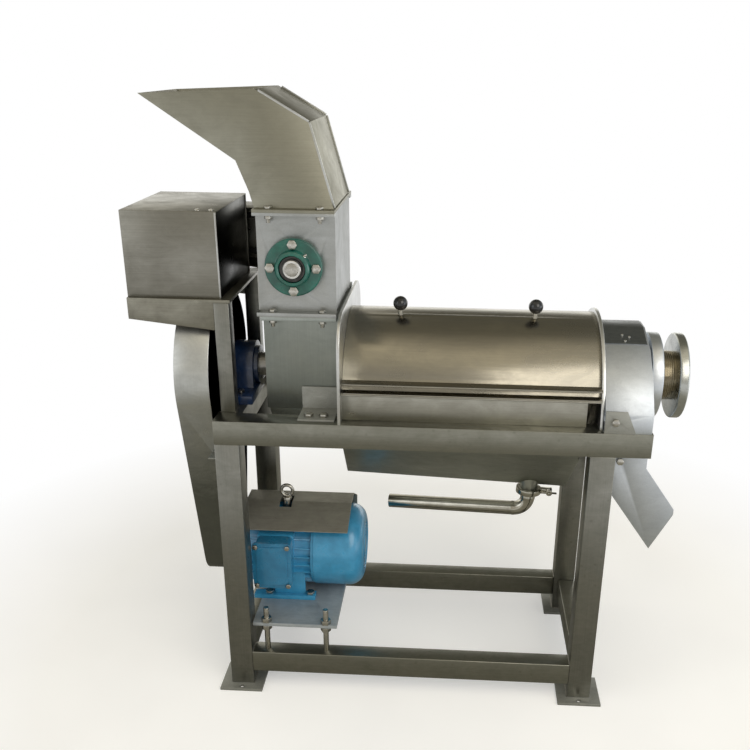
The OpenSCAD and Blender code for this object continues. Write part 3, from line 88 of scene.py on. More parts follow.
def linear(hex_colour):
    """An sRGB hex colour as linear RGBA."""
    parts = [int(hex_colour[i:i + 2], 16) / 255 for i in (0, 2, 4)]
    return tuple(c / 12.92 if c <= 0.04045 else ((c + 0.055) / 1.055) ** 2.4 for c in parts) + (1.0,)


def add(tree, kind, settings=None, **inputs):
    """Adds a node with its settings, and its inputs as values or links. An input goes by its name,
    or by its number as in_0."""
    made = tree.nodes.new("ShaderNode" + kind)
    for name, value in (settings or {}).items():
        setattr(made, name, value)
    for name, value in inputs.items():
        key = int(name[3:]) if name.startswith("in_") else name.replace("_", " ")
        if isinstance(value, bpy.types.NodeSocket):
            tree.links.new(value, made.inputs[key])
        else:
            made.inputs[key].default_value = value
    return made


def ramp(tree, value, *stops):
    """A colour ramp with stops of (place, colour)."""
    made = add(tree, "ValToRGB", Fac=value)
    while len(made.color_ramp.elements) < len(stops):
        made.color_ramp.elements.new(0.5)
    for element, (place, colour) in zip(made.color_ramp.elements, stops):
        element.position, element.color = place, colour
    return made.outputs["Color"]


def span(tree, value, low, high, start=0.0, end=1.0):
    """A value taken from start..end to low..high, clamped."""
    return add(tree, "MapRange", Value=value, From_Min=start, From_Max=end, To_Min=low,
               To_Max=high).outputs["Result"]


def new_material(name):
    made = bpy.data.materials.new(name)
    made.use_nodes = True
    made.node_tree.nodes.clear()
    return made, made.node_tree


def close(tree, shader):
    add(tree, "OutputMaterial", Surface=shader.outputs[0])


def at_size(tree, millimetres, stretch=(1, 1, 1)):
    """Object coordinates scaled so that one unit is the given length, and longer along an axis
    by its stretch."""
    place = add(tree, "TexCoord").outputs["Object"]
    return add(tree, "Mapping", Vector=place,
               Scale=[1 / (millimetres * mm * s) for s in stretch]).outputs["Vector"]


def stainless(name, dark, light, rough, grain=(1, 1, 1), line_mm=2.2, line_depth=0.12, stain=0.5,
              mottle_mm=70, speck=0.0, soil=None, film=0.0):
    """Stainless sheet or tube: drawn or brushed lines, hand smudges and water marks. The lines are
    about 0.3 mm on the real sheet and are drawn coarser, so that they show. That gives soft streaked
    reflections, with warm and cool patches. Below a height it is darkened towards a given grey, a
    painted shade, and a dry film dulls it."""
    made, tree = new_material(name)
    lines = add(tree, "TexNoise", Vector=at_size(tree, line_mm, grain), Scale=1.0, Detail=3.0,
                Roughness=0.6).outputs["Fac"]
    clouds = add(tree, "TexNoise", Vector=at_size(tree, mottle_mm), Scale=1.0, Detail=6.0,
                 Roughness=0.62, Distortion=0.6).outputs["Fac"]
    smears = add(tree, "TexNoise", Vector=at_size(tree, mottle_mm * 0.45, (1.6, 1.0, 0.7)), Scale=1.0,
                 Detail=8.0, Roughness=0.7, Distortion=1.4).outputs["Fac"]
    patches = add(tree, "Math", {"operation": "MULTIPLY_ADD"}, in_0=smears, in_1=0.45,
                  in_2=add(tree, "Math", {"operation": "MULTIPLY"}, in_0=clouds, in_1=0.55).outputs[0])
    tone = add(tree, "Math", {"operation": "MULTIPLY_ADD"}, in_0=lines, in_1=0.3,
               in_2=patches.outputs[0]).outputs[0]
    colour = ramp(tree, tone, (0.45, linear(dark)), (0.82, linear(light)))
    if speck:
        dots = add(tree, "TexVoronoi", Vector=at_size(tree, 26), Scale=1.0,
                   Randomness=1.0).outputs["Distance"]
        marks = span(tree, dots, speck, 0.0, 0.05, 0.16)
        colour = add(tree, "Mix", {"data_type": "RGBA", "blend_type": "MULTIPLY"}, in_0=marks,
                     in_6=colour, in_7=linear("b3afa6")).outputs[2]
    # Below a height the colour is pulled towards a darker grey: a painted shade.
    if soil:
        height = add(tree, "SeparateXYZ", in_0=add(tree, "TexCoord").outputs["Object"]).outputs[2]
        edge = add(tree, "Math", {"operation": "MULTIPLY_ADD"}, in_0=smears, in_1=0.16,
                   in_2=height).outputs[0]
        colour = add(tree, "Mix", {"data_type": "RGBA", "blend_type": "MULTIPLY"},
                     in_0=span(tree, edge, 1.0, 0.0, soil[0], soil[1]), in_6=colour,
                     in_7=linear(soil[2])).outputs[2]
    gloss = span(tree, patches.outputs[0], rough + 0.10 * stain, rough - 0.12 * stain, 0.38, 0.66)
    fine = add(tree, "Bump", Strength=line_depth, Distance=0.25 * mm, Height=lines)
    waves = add(tree, "TexNoise", Vector=at_size(tree, 160), Scale=1.0, Detail=1.0).outputs["Fac"]
    dents = add(tree, "Bump", Strength=0.25, Distance=2.5 * mm, Height=waves, Normal=fine.outputs[0])
    close(tree, add(tree, "BsdfPrincipled", Base_Color=colour, Metallic=1.0 - film, Roughness=gloss,
                    Normal=dents.outputs[0]))
    return made


# A drawn or brushed line is this much longer than it is wide.
drawn = 60
along_x, along_y, along_z, even = (drawn, 1, 1), (1, drawn, 1), (1, 1, drawn), (1, 1, 1)
same_point = 1e-6


def wear(node, material):
    """Puts a material on a CAD node that keeps its own mesh."""
    cad = frame["nodes"][node]
    cad.data.materials.clear()
    cad.data.materials.append(material)


def finished(name, mesh, material, body, slot, *stands_for, sharp=35, clean=True):
    """Makes an object of a bmesh, which rides on a body and may stand for CAD nodes. Edges
    sharper than an angle in degrees stay sharp."""
    if clean:
        bmesh.ops.remove_doubles(mesh, verts=mesh.verts, dist=same_point)
        bmesh.ops.recalc_face_normals(mesh, faces=mesh.faces)
    data = bpy.data.meshes.new(name)
    mesh.to_mesh(data)
    mesh.free()
    data.shade_smooth()
    data.set_sharp_from_angle(angle=math.radians(sharp))
    data.materials.append(material)
    made = bpy.data.objects.new(name, data)
    bpy.context.scene.collection.objects.link(made)
    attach(made, body)
    if stands_for:
        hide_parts(*stands_for)
    return made


def merged(node):
    """A bmesh of a CAD node with its triangles joined into whole flat faces."""
    mesh = bmesh.new()
    mesh.from_mesh(frame["nodes"][node].data)
    bmesh.ops.remove_doubles(mesh, verts=mesh.verts, dist=2 * same_point)
    bmesh.ops.dissolve_limit(mesh, angle_limit=math.radians(0.5), verts=mesh.verts, edges=mesh.edges)
    return mesh


def bevelled(mesh, edges, width, segments=2, clamp=False):
    """Rounds edges of a bmesh, and gives the new faces."""
    return bmesh.ops.bevel(mesh, geom=list(edges), offset=width, offset_type="OFFSET", segments=segments,
                           profile=0.5, affect="EDGES", clamp_overlap=clamp, material=-1)["faces"]


def eased(node, material, width, sharp=40, crease=35):
    """Stands for a CAD node with the same shape, its sharp edges eased as filing or bending
    leaves them."""
    mesh = merged(node)
    corners = [e for e in mesh.edges
               if len(e.link_faces) == 2 and e.calc_face_angle(0.0) > math.radians(sharp)]
    bevelled(mesh, corners, width, clamp=True)
    cad = frame["nodes"][node]
    return finished(node + "_eased", mesh, material, cad["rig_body"], slots[node], node, sharp=crease,
                    clean=False)


slots = {row["node"]: row["material_slot"] for row in frame["record"]["subparts"]}
tube_corner = 2.2 * mm
plate_corner = 0.7 * mm
tube_level = stainless("drawn_tube_level", "7a7a6f", "929187", 0.36, along_x, stain=0.8, speck=0.25)
tube_upright = stainless("drawn_tube_upright", "787972", "908f88", 0.36, along_z, stain=0.8, speck=0.25)
mill_plate = stainless("mill_plate", "84857f", "a0a19b", 0.44, even, line_depth=0.05, stain=0.9,
                       speck=0.3, film=0.4)
for node in ("upper_rails", "lower_rails"):
    eased(node, tube_level, tube_corner)
for node in ("legs", "crusher_posts"):
    eased(node, tube_upright, tube_corner)
for node in ("foot_plates", "rail_feet"):
    eased(node, mill_plate, plate_corner)
# The base plate is painted a pale bluish grey, a painted reflection of the bright room and the blue motor
# above it.
pickled_plate = stainless("pickled_plate", "8f979c", "b4babd", 0.5, along_x, line_depth=0.05, stain=0.8,
                          film=0.55)
eased("base_plate", pickled_plate, plate_corner)

# ---------------------------------------------------------------- Weld seams
# The tubes are joined by MIG welds, ground on the outside faces and left as a narrow rippled
# bead in the inside corners, a little bluer than the tube from the heat.
ripple = 3.2 * mm
bead_ends, bead_waves = 0.7, (1.0, 0.82)


def bead(mesh, start, end, radius):
    """A weld bead from start to end: a rod whose rings swell and shrink as the pool froze."""
    along = Vector(end) - Vector(start)
    steps = max(2, round(along.length / ripple))
    turn = Matrix.Translation(start) @ along.to_track_quat("Z", "Y").to_matrix().to_4x4()
    ring = bmesh.ops.create_circle(mesh, cap_ends=True, segments=8, radius=radius * bead_ends,
                                   matrix=turn)
    edges = [e for e in mesh.edges if all(v in ring["verts"] for v in e.verts)]
    size = bead_ends
    for i in range(steps):
        made = bmesh.ops.extrude_edge_only(mesh, edges=edges)["geom"]
        verts = [g for g in made if isinstance(g, bmesh.types.BMVert)]
        edges = [g for g in made if isinstance(g, bmesh.types.BMEdge)
                 and all(v in verts for v in g.verts)]
        middle = sum((v.co for v in verts), Vector()) / len(verts) + along / steps
        bmesh.ops.translate(mesh, verts=verts, vec=along / steps)
        new_size = bead_ends if i == steps - 1 else bead_waves[i % 2]
        bmesh.ops.scale(mesh, verts=verts, vec=[new_size / size] * 3,
                        space=Matrix.Translation(-middle))
        size = new_size
    bmesh.ops.edgeloop_fill(mesh, edges=edges)


tube, low_tube, post_depth = 50 * mm, 40 * mm, 30 * mm
weld_r, weld_inset = 1.7 * mm, 2 * mm
welds = bmesh.new()
low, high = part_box("legs")
for x in (low.x, high.x - tube):
    for y in (low.y, high.y - tube):
        inner = x + tube if x == low.x else x
        for z in (low.z, high.z):
            bead(welds, (inner, y, z), (inner, y + tube, z), weld_r)
            face = y + tube if y == low.y else y
            bead(welds, (x, face, z), (x + tube, face, z), weld_r)
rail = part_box("lower_rails")
for x in (low.x + tube, high.x - tube):
    for y, wide in ((rail[0].y, 1), (rail[1].y, -1)):
        for z in (rail[0].z, rail[1].z):
            bead(welds, (x, y + wide * weld_inset, z), (x, y + wide * (low_tube - weld_inset), z), weld_r)
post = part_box("crusher_posts")
for y in (post[0].y, post[1].y - post_depth):
    for x in (post[1].x, post[0].x):
        bead(welds, (x, y, post[0].z), (x, y + post_depth, post[0].z), weld_r)
weld_metal = stainless("weld_metal", "5d5e60", "b5b0a2", 0.42, even, line_mm=1.2, line_depth=0.3,
                       mottle_mm=9)
finished("stand_welds", welds, weld_metal, "stand", "frame_steel")

# ---------------------------------------------------------------- Hood and its shelf
# A folded stainless box over the crusher's motor on a tapered shelf. Its right end is a polished plate
# set in behind the front edge, painted near black: a painted reflection of the shaded crusher box.
# The front edge's pale strip is a painted highlight, and two screws hold its top fold.
hood_sheet = stainless("hood_sheet", "76746b", "8f8d84", 0.34, along_x, line_depth=0.06, stain=0.9,
                       mottle_mm=110)
shelf_sheet = stainless("shelf_sheet", "78756b", "929083", 0.36, along_x, line_depth=0.06, stain=1.0,
                        mottle_mm=60, speck=0.3)
# The end plate is painted near black, a painted reflection of the shaded crusher box beside it.
dark_plate = stainless("end_plate_painted_dark", "12130f", "25261f", 0.3, even, line_depth=0.02, stain=0.4,
                       mottle_mm=90)
eased("hood", hood_sheet, 0.8 * mm)
eased("hood_shelf", shelf_sheet, 0.8 * mm)
eased("hood_end_plate", dark_plate, 0.5 * mm)


def turned(mesh, profile, centre, axis, steps=64):
    """Spins an open profile of (radius, place along the axis) round an axis through centre."""
    turn = Matrix.Translation(centre) @ Vector(axis).to_track_quat("Z", "Y").to_matrix().to_4x4()
    verts = [mesh.verts.new(turn @ Vector((r, 0, along))) for r, along in profile]
    edges = [mesh.edges.new(pair) for pair in zip(verts, verts[1:])]
    bmesh.ops.spin(mesh, geom=verts + edges, cent=turn @ Vector(), axis=turn.to_3x3() @ Vector((0, 0, 1)),
                   angle=math.tau, steps=steps, use_merge=True)
    bmesh.ops.remove_doubles(mesh, verts=mesh.verts, dist=same_point)


def arc(centre, radius, start, end, steps):
    """Points on an arc of a profile, angles in degrees."""
    return [(centre[0] + radius * math.cos(math.radians(start + (end - start) * i / steps)),
             centre[1] + radius * math.sin(math.radians(start + (end - start) * i / steps)))
            for i in range(steps + 1)]


bright_zinc = stainless("bright_fastener", "8d8b84", "d9d6cd", 0.22, even, line_mm=0.8, line_depth=0.04,
                        mottle_mm=8)
screws = bmesh.new()
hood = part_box("hood")
screws_in, screws_back, screws_sunk = (12 * mm, 38 * mm), 14 * mm, 0.8 * mm
pan_head = [(0, 3.6 * mm), (3.4 * mm, 3.2 * mm), (5.2 * mm, 1.6 * mm), (5.4 * mm, 0), (0, 0)]
for inward in screws_in:
    seat = (hood[1].x - inward, hood[0].y + screws_back, hood[1].z - screws_sunk)
    turned(screws, pan_head, seat, (0, 0, 1), 20)
finished("hood_screws", screws, bright_zinc, "stand", "zinc_fasteners")

# ---------------------------------------------------------------- Crusher box and hopper
# Both are 304 sheet, folded and seam welded, bolted flange to flange. The box is blasted and
# reads as even pale grey, while the hopper keeps a duller mill finish with handling marks.
box_sheet = stainless("crusher_box_sheet", "999b98", "b0b2b1", 0.42, even, line_depth=0.04, stain=0.6,
                      mottle_mm=120)
hopper_sheet = stainless("hopper_sheet", "817f72", "969486", 0.4, along_x, line_depth=0.05, stain=0.7,
                         mottle_mm=85)
chamber_sheet = stainless("chamber_sheet", "929893", "a9aeaa", 0.38, along_z, line_depth=0.05, stain=0.7,
                          mottle_mm=110)
eased("crusher_box", box_sheet, 0.9 * mm)
eased("hopper", hopper_sheet, 0.7 * mm)
eased("inlet_chamber", chamber_sheet, 0.9 * mm)

# The hood's right end is left open, and a pale strip on its sheared front edge is a painted highlight where
# the edge catches the light.
sheared_edge = stainless("sheared_edge", "a9aaa7", "c6c7c4", 0.3, even, line_depth=0.04, stain=0.3,
                         mottle_mm=30)
hem = bmesh.new()
hem_w, hem_out, hem_short = 3.2 * mm, 1.2 * mm, 3 * mm
hem_middle = Matrix.Translation((hood[1].x - hem_w / 2, hood[0].y, (hood[0].z + hood[1].z) / 2))
hem_size = Matrix.Diagonal((hem_w, 2 * hem_out, hood[1].z - hood[0].z - hem_short, 1.0))
bmesh.ops.create_cube(hem, size=1.0, matrix=hem_middle @ hem_size)
bevelled(hem, hem.edges, 0.4 * mm)
finished("hood_hem", hem, sheared_edge, "stand", slots["hood"], clean=False)

# The hopper's side plates stand proud of its sloping facets, and their sheared edge is painted pale, a
# painted highlight.
rim_up, rim_w, rim_sunk, shortest_rim = 4 * mm, 2.4 * mm, 0.4 * mm, 30 * mm
faces_right, faces_up, hair = 0.4, 0.2, 0.1 * mm
rims, facets = bmesh.new(), merged("hopper")
mouth_x = sum(corner.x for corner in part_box("hopper")) / 2
for face in facets.faces:
    if (face.normal.x < faces_right or face.normal.z < faces_up
            or face.calc_center_median().x < mouth_x):
        continue
    for edge in face.edges:
        one, other = (v.co for v in edge.verts)
        if abs(one.y - other.y) > hair or edge.calc_length() < shortest_rim:
            continue
        along = (other - one).normalized()
        inward = Vector((0, -math.copysign(rim_w / 2, one.y), 0))
        stands = max(one.z, other.z) + face.normal.z * (rim_up - rim_sunk) - cad_box[1][2]
        trim = max(0.0, stands + hair) / abs(along.z)
        downhill = along * math.copysign(trim / 2, -along.z)
        seat = (one + other) / 2 + inward + downhill + face.normal * (rim_up / 2 - rim_sunk)
        turn = Matrix((along, face.normal.cross(along), face.normal)).transposed().to_4x4()
        size = Matrix.Diagonal((edge.calc_length() - rim_w / 2 - trim, rim_w, rim_up, 1.0))
        bmesh.ops.create_cube(rims, size=1.0, matrix=Matrix.Translation(seat) @ turn @ size)
facets.free()
bevelled(rims, rims.edges, 0.5 * mm)
finished("hopper_rims", rims, sheared_edge, frame["nodes"]["hopper"]["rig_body"], slots["hopper"],
         clean=False)

# ---------------------------------------------------------------- Flange bearings
# Round four-bolt cast iron housings in green enamel, turned on the face. A steel insert with a
# locking collar sits in the bore, and a grease nipple stands on the rim.


def enamel(name, hex_colour, shade, rough=0.32, peel_mm=3.0, dust="8d8c84", dusty=0.25):
    """Brushed or sprayed enamel on a casting: a slightly wavy gloss coat with dust in the hollows.
    That gives soft highlights with broken edges."""
    made, tree = new_material(name)
    blotch = add(tree, "TexNoise", Vector=at_size(tree, 28), Scale=1.0, Detail=5.0,
                 Roughness=0.6).outputs["Fac"]
    body = ramp(tree, blotch, (0.35, linear(shade)), (0.7, linear(hex_colour)))
    grit = add(tree, "TexNoise", Vector=at_size(tree, 5), Scale=1.0, Detail=6.0,
               Roughness=0.7).outputs["Fac"]
    veil = add(tree, "Math", {"operation": "MULTIPLY"}, in_0=span(tree, grit, 0.0, 1.0, 0.48, 0.75),
               in_1=span(tree, blotch, 0.0, dusty, 0.45, 0.7))
    colour = add(tree, "Mix", {"data_type": "RGBA"}, in_0=veil.outputs[0], in_6=body, in_7=linear(dust))
    peel = add(tree, "TexNoise", Vector=at_size(tree, peel_mm), Scale=1.0, Detail=2.0).outputs["Fac"]
    bump = add(tree, "Bump", Strength=0.12, Distance=0.3 * mm, Height=peel)
    close(tree, add(tree, "BsdfPrincipled", Base_Color=colour.outputs[2], Metallic=0.0,
                    Roughness=span(tree, blotch, rough + 0.1, rough - 0.06, 0.35, 0.7), IOR=1.5,
                    Coat_Weight=0.6, Coat_Roughness=0.16, Normal=bump.outputs[0]))
    return made


green_enamel = enamel("green_enamel", "12685a", "0a4a40", 0.3)
ground_steel = stainless("ground_steel", "9a9892", "dedcd5", 0.2, even, line_mm=1.0, line_depth=0.05,
                         mottle_mm=14)
dark_steel = stainless("oiled_ring", "2b2b2a", "555452", 0.35, even, line_mm=1.0, mottle_mm=10)
bearing_low, bearing_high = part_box("flange_bearings")
crusher_axis = Vector(((bearing_low.x + bearing_high.x) / 2, 0, (bearing_low.z + bearing_high.z) / 2))
casting_ease, box_flange = 1.5 * mm, 23 * mm
flange_r = (bearing_high.x - bearing_low.x) / 2 - casting_ease
wall_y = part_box("crusher_box")[1].y - box_flange
rim_t, boss_h, boss_r, bore_r = 12 * mm, 30 * mm, 34 * mm, 26.05 * mm
rim_round, insert_r, insert_bore, insert_in = 3 * mm, 25.9 * mm, 17.6 * mm, 3 * mm
collar_r, shaft_fit, collar_ease = 17.5 * mm, 12.6 * mm, 0.3 * mm
insert = [(insert_bore, insert_in), (insert_r, insert_in), (insert_r, 22 * mm), (24.5 * mm, 24.5 * mm),
          (20.5 * mm, 24.5 * mm), (20.2 * mm, 25.5 * mm), (20 * mm, 28 * mm), (insert_bore, 28 * mm),
          (insert_bore, insert_in)]
collar = [(shaft_fit, insert_in), (collar_r, insert_in), (collar_r, boss_h - 2 * collar_ease),
          (collar_r - 2 * collar_ease, boss_h), (shaft_fit + collar_ease, boss_h),
          (shaft_fit, boss_h - collar_ease), (shaft_fit, insert_in)]
nipple = [(0, -2 * mm), (3.4 * mm, -2 * mm), (3.4 * mm, 2.5 * mm), (2 * mm, 3.4 * mm),
          (2 * mm, 5 * mm), (2.8 * mm, 6.2 * mm), (2.2 * mm, 8 * mm), (0, 8.6 * mm)]
nipple_place, nipple_up = 0.68 * boss_r, 7 * mm
housings, inserts, collars, nipples = bmesh.new(), bmesh.new(), bmesh.new(), bmesh.new()
for side in (-1, 1):
    seat = crusher_axis + Vector((0, side * wall_y, 0))
    out = (0, side, 0)
    profile = [(bore_r, 0), (flange_r, 0), (flange_r, rim_t - rim_round)]
    profile += arc((flange_r - rim_round, rim_t - rim_round), rim_round, 0, 90, 4)[1:]
    profile += [(boss_r + 4 * mm, rim_t), (boss_r + 1.4 * mm, rim_t + 1 * mm), (boss_r, rim_t + 4 * mm)]
    profile += [(boss_r - 0.6 * mm, boss_h - 3 * mm), (boss_r - 3 * mm, boss_h - 0.6 * mm),
                (bore_r + 1 * mm, boss_h), (bore_r, boss_h - 1 * mm), (bore_r, 0)]
    turned(housings, profile, seat, out)
    turned(inserts, insert, seat, out)
    turned(collars, collar, seat, out)
    lean = Vector((0.55, side * 0.55, 0.62)).normalized()
    foot = seat + Vector((nipple_place, side * (rim_t + nipple_up), nipple_place))
    turned(nipples, nipple, foot, lean, 16)
finished("bearing_housings", housings, green_enamel, "stand", "bearing_green", "flange_bearings")
finished("bearing_rings", inserts, dark_steel, "crusher_rotor", "bearing_steel", "bearing_inserts")
finished("bearing_collars", collars, ground_steel, "crusher_rotor", "bearing_steel")
finished("grease_nipples", nipples, bright_zinc, "stand", "zinc_fasteners")

# ---------------------------------------------------------------- Crusher rotor and its drive
# A turned shaft with welded star knives, and cast iron V pulleys with a rubber belt behind the
# box. The shaft's end shows bright in the front bearing, with a centre drill mark.


def rubber(name, hex_colour, rough):
    """Moulded rubber: even black with a little grey bloom, so its highlights are broad and dull."""
    made, tree = new_material(name)
    bloom = add(tree, "TexNoise", Vector=at_size(tree, 14), Scale=1.0, Detail=6.0,
                Roughness=0.65).outputs["Fac"]
    grain = add(tree, "TexNoise", Vector=at_size(tree, 1.2), Scale=1.0, Detail=3.0).outputs["Fac"]
    colour = ramp(tree, bloom, (0.35, linear(hex_colour)), (0.8, linear("3c3b39")))
    bump = add(tree, "Bump", Strength=0.25, Distance=0.2 * mm, Height=grain)
    close(tree, add(tree, "BsdfPrincipled", Base_Color=colour, Metallic=0.0,
                    Roughness=span(tree, bloom, rough - 0.1, rough + 0.1, 0.35, 0.7), IOR=1.52,
                    Normal=bump.outputs[0]))
    return made


belt_rubber = rubber("belt_rubber", "17171a", 0.7)
turned_steel = stainless("turned_steel", "8b8982", "cfccc3", 0.26, along_y, line_mm=1.6, line_depth=0.1,
                         mottle_mm=40)
cast_iron = stainless("machined_iron", "2d2d2c", "5f5e5a", 0.45, even, line_mm=1.5, line_depth=0.3,
                      mottle_mm=30)
for node in ("crusher_shaft", "crusher_knives"):
    eased(node, turned_steel, 0.6 * mm)
for node in ("crusher_pulley", "crusher_motor_pulley", "main_pulley", "motor_pulley"):
    eased(node, cast_iron, 0.5 * mm)
for node in ("crusher_belt", "drive_belts"):
    wear(node, belt_rubber)
for node in ("crusher_motor_shaft", "motor_shaft"):
    eased(node, ground_steel, 0.4 * mm)
# The crusher motor and pillow bearing stand in shadow behind the rail, so their blue enamel is painted
# dark: a painted shade.
small_motor_paint = enamel("blue_enamel_painted_shade", "12305a", "0b203c", 0.35)
eased("crusher_motor", small_motor_paint, 1.5 * mm)
eased("pillow_bearing", small_motor_paint, 2.0 * mm)
seal_rubber = rubber("seal_rubber", "141414", 0.5)
eased("shaft_seal", seal_rubber, 0.8 * mm)

# ---------------------------------------------------------------- Guards
# Folded and welded sheet pans over the belts, with a brushed face. The lower part is painted
# greyer, a painted shade for the dim floor it mirrors.
guard_sheet = stainless("guard_sheet", "c2c3bf", "d8d9d5", 0.36, along_z, line_depth=0.08, stain=0.9,
                        mottle_mm=95, soil=(0.5, 0.94, "868883"))
eased("belt_guard", guard_sheet, 1.0 * mm, sharp=60)
eased("crusher_belt_guard", hood_sheet, 1.0 * mm, sharp=60)

# ---------------------------------------------------------------- Press barrel
# Arched cover of brushed sheet, lengthwise, bright enough to mirror the room in long bands.
# It lies between two laser-cut end plates, on panels with a folded lip. The end plates and the ring
# flange are painted pale all over, a painted highlight for the end plates' bright edges.
cover_sheet = stainless("cover_sheet", "88847a", "a09b8d", 0.25, along_x, line_mm=1.8, line_depth=0.1,
                        stain=0.45, mottle_mm=140)
panel_sheet = stainless("panel_sheet", "8f8d83", "aaa89e", 0.34, along_x, line_depth=0.08, stain=0.7,
                        mottle_mm=80)
# Pale tone here is a painted highlight for the bright plate edges.
plate_sheet = stainless("end_plate_painted_bright", "c4c5c3", "dcdddb", 0.34, even, line_depth=0.05, stain=0.4,
                        mottle_mm=60)
eased("barrel_cover", cover_sheet, 0.7 * mm)
eased("side_panels", panel_sheet, 0.5 * mm)
for node in ("barrel_end_plate", "ring_flange"):
    eased(node, plate_sheet, 0.8 * mm)
basket_sheet = stainless("screen_sheet", "7f7d77", "c0beb8", 0.32, along_x, mottle_mm=40)
for node in ("screen_basket", "screw_flight", "screw_shaft"):
    wear(node, basket_sheet)

# ---------------------------------------------------------------- Knobs
# Phenolic ball knobs screwed on welded studs: glossy black, with a flat where they meet the
# stud's collar.


def moulded(name, hex_colour, rough, grain_mm=2.0):
    """Moulded plastic: even colour, faint flow marks and rubbed spots in the gloss."""
    made, tree = new_material(name)
    rub = add(tree, "TexNoise", Vector=at_size(tree, 12), Scale=1.0, Detail=5.0,
              Roughness=0.6).outputs["Fac"]
    flow = add(tree, "TexNoise", Vector=at_size(tree, grain_mm), Scale=1.0, Detail=2.0).outputs["Fac"]
    colour = ramp(tree, rub, (0.3, linear(hex_colour)), (0.85, linear("2c2d2e")))
    bump = add(tree, "Bump", Strength=0.06, Distance=0.2 * mm, Height=flow)
    close(tree, add(tree, "BsdfPrincipled", Base_Color=colour, Metallic=0.0,
                    Roughness=span(tree, rub, rough, rough + 0.14, 0.4, 0.75), IOR=1.55,
                    Normal=bump.outputs[0]))
    return made


knob_black = moulded("phenolic_black", "0b0b0c", 0.12)
knob_low, knob_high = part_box("cover_knobs")
knob_r = (knob_high.z - knob_low.z) / 2
knob_lean = math.radians(10)
lean = Vector((0, -math.sin(knob_lean), math.cos(knob_lean)))
knobs = bmesh.new()
flat = knob_r * 0.87
for x in (knob_low.x + knob_r, knob_high.x - knob_r):
    middle = Vector((x, (knob_low.y + knob_high.y) / 2, (knob_low.z + knob_high.z) / 2))
    ball = arc((0, 0), knob_r, 90, -60, 22)
    profile = [(max(r, 0), z) for r, z in ball] + [(6.4 * mm, -flat), (5.1 * mm, -flat + 1.2 * mm)]
    turned(knobs, profile, middle, lean, 40)
finished("ball_knobs", knobs, knob_black, "cover", "knob_plastic", "cover_knobs", sharp=50)

# ---------------------------------------------------------------- Outlet end
# Outlet chamber and chute of blasted sheet, almost white beside the barrel. A turned gland
# holds a threaded bronze-brown sleeve, and a turned hand disc drives the pressure cone.
pale_sheet = stainless("blasted_sheet", "b3b8bd", "cdd2d7", 0.46, even, line_depth=0.03, stain=0.35,
                       mottle_mm=75)
for node in ("outlet_chamber", "pomace_chute"):
    eased(node, pale_sheet, 0.9 * mm)

# A thin polished cover strip is bent over the chamber's roof and held by three small studs. It is painted
# darker than the chamber, a painted reflection of the dark surroundings that the roof facet mirrors.
strip_metal = stainless("roof_strip_painted_reflection", "6a6f72", "8b8f92", 0.36, along_x, line_depth=0.05, stain=0.5,
                        mottle_mm=50)
strip_t, strip_gap = 1.4 * mm, 0.1 * mm
strip_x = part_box("ring_flange")[1].x + 3 * mm
strip_l = 86 * mm
strip_reach, strip_flat, roof_low, roof_top = 82 * mm, 24 * mm, 786.2 * mm, 806 * mm
bends = [(-strip_reach, roof_low), (-strip_flat, roof_top), (strip_flat, roof_top), (strip_reach, roof_low)]
strip = bmesh.new()
section = [(strip_x, y, z + strip_gap) for y, z in bends]
section += [(strip_x, y, z + strip_gap + strip_t) for y, z in reversed(bends)]
front = strip.faces.new([strip.verts.new(point) for point in section])
pulled = bmesh.ops.extrude_face_region(strip, geom=[front])["geom"]
bmesh.ops.translate(strip, verts=[g for g in pulled if isinstance(g, bmesh.types.BMVert)],
                    vec=(strip_l, 0, 0))
finished("outlet_cover_strip", strip, strip_metal, "stand", "pale_steel")
studs = bmesh.new()
roof_normal = Vector((0, -25, 73)).normalized()
stud_places_mm = ((420.0, -54.3, 795.6), (433.3, -60.3, 793.6), (423.5, -73.8, 789.0))
stud = [(0, 5 * mm), (2.2 * mm, 4.4 * mm), (2.8 * mm, 3.4 * mm), (2.8 * mm, 0), (0, 0)]
for place in stud_places_mm:
    turned(studs, stud, Vector(place) * mm, roof_normal, 16)
finished("outlet_studs", studs, bright_zinc, "stand", "zinc_fasteners")
gland_metal = stainless("turned_gland", "bcc1c6", "d8dce0", 0.36, even, line_mm=1.4, line_depth=0.08,
                        mottle_mm=50)
disc_metal = stainless("turned_disc", "9b9d99", "bcbeb9", 0.24, even, line_mm=1.4, line_depth=0.08,
                       mottle_mm=45)
eased("gland_housing", gland_metal, 2.0 * mm)
eased("pressure_cone", gland_metal, 1.0 * mm)

disc_low, disc_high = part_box("hand_disc")
press_axis = Vector((0, (disc_low.y + disc_high.y) / 2, (disc_low.z + disc_high.z) / 2))
disc_r, disc_t = (disc_high.z - disc_low.z) / 2, disc_high.x - disc_low.x
wheel = bmesh.new()
rim, disc_bore, boss, face_cut, land = 4 * mm, 28 * mm, 45 * mm, 1.2 * mm, 9 * mm
profile = [(disc_bore, 0), (disc_r - rim, 0)] + arc((disc_r - rim, rim), rim, -90, 0, 5)[1:]
profile += arc((disc_r - rim, disc_t - rim), rim, 0, 90, 5)
profile += [(disc_r - land, disc_t), (disc_r - land - 1 * mm, disc_t - face_cut),
            (boss + 1 * mm, disc_t - face_cut), (boss, disc_t), (disc_bore + 2 * mm, disc_t),
            (disc_bore, disc_t - 2 * mm), (disc_bore, 0)]
turned(wheel, profile, press_axis + Vector((disc_low.x, 0, 0)), (1, 0, 0), 96)
finished("hand_disc_turned", wheel, disc_metal, "hand_wheel", "turned_steel", "hand_disc")

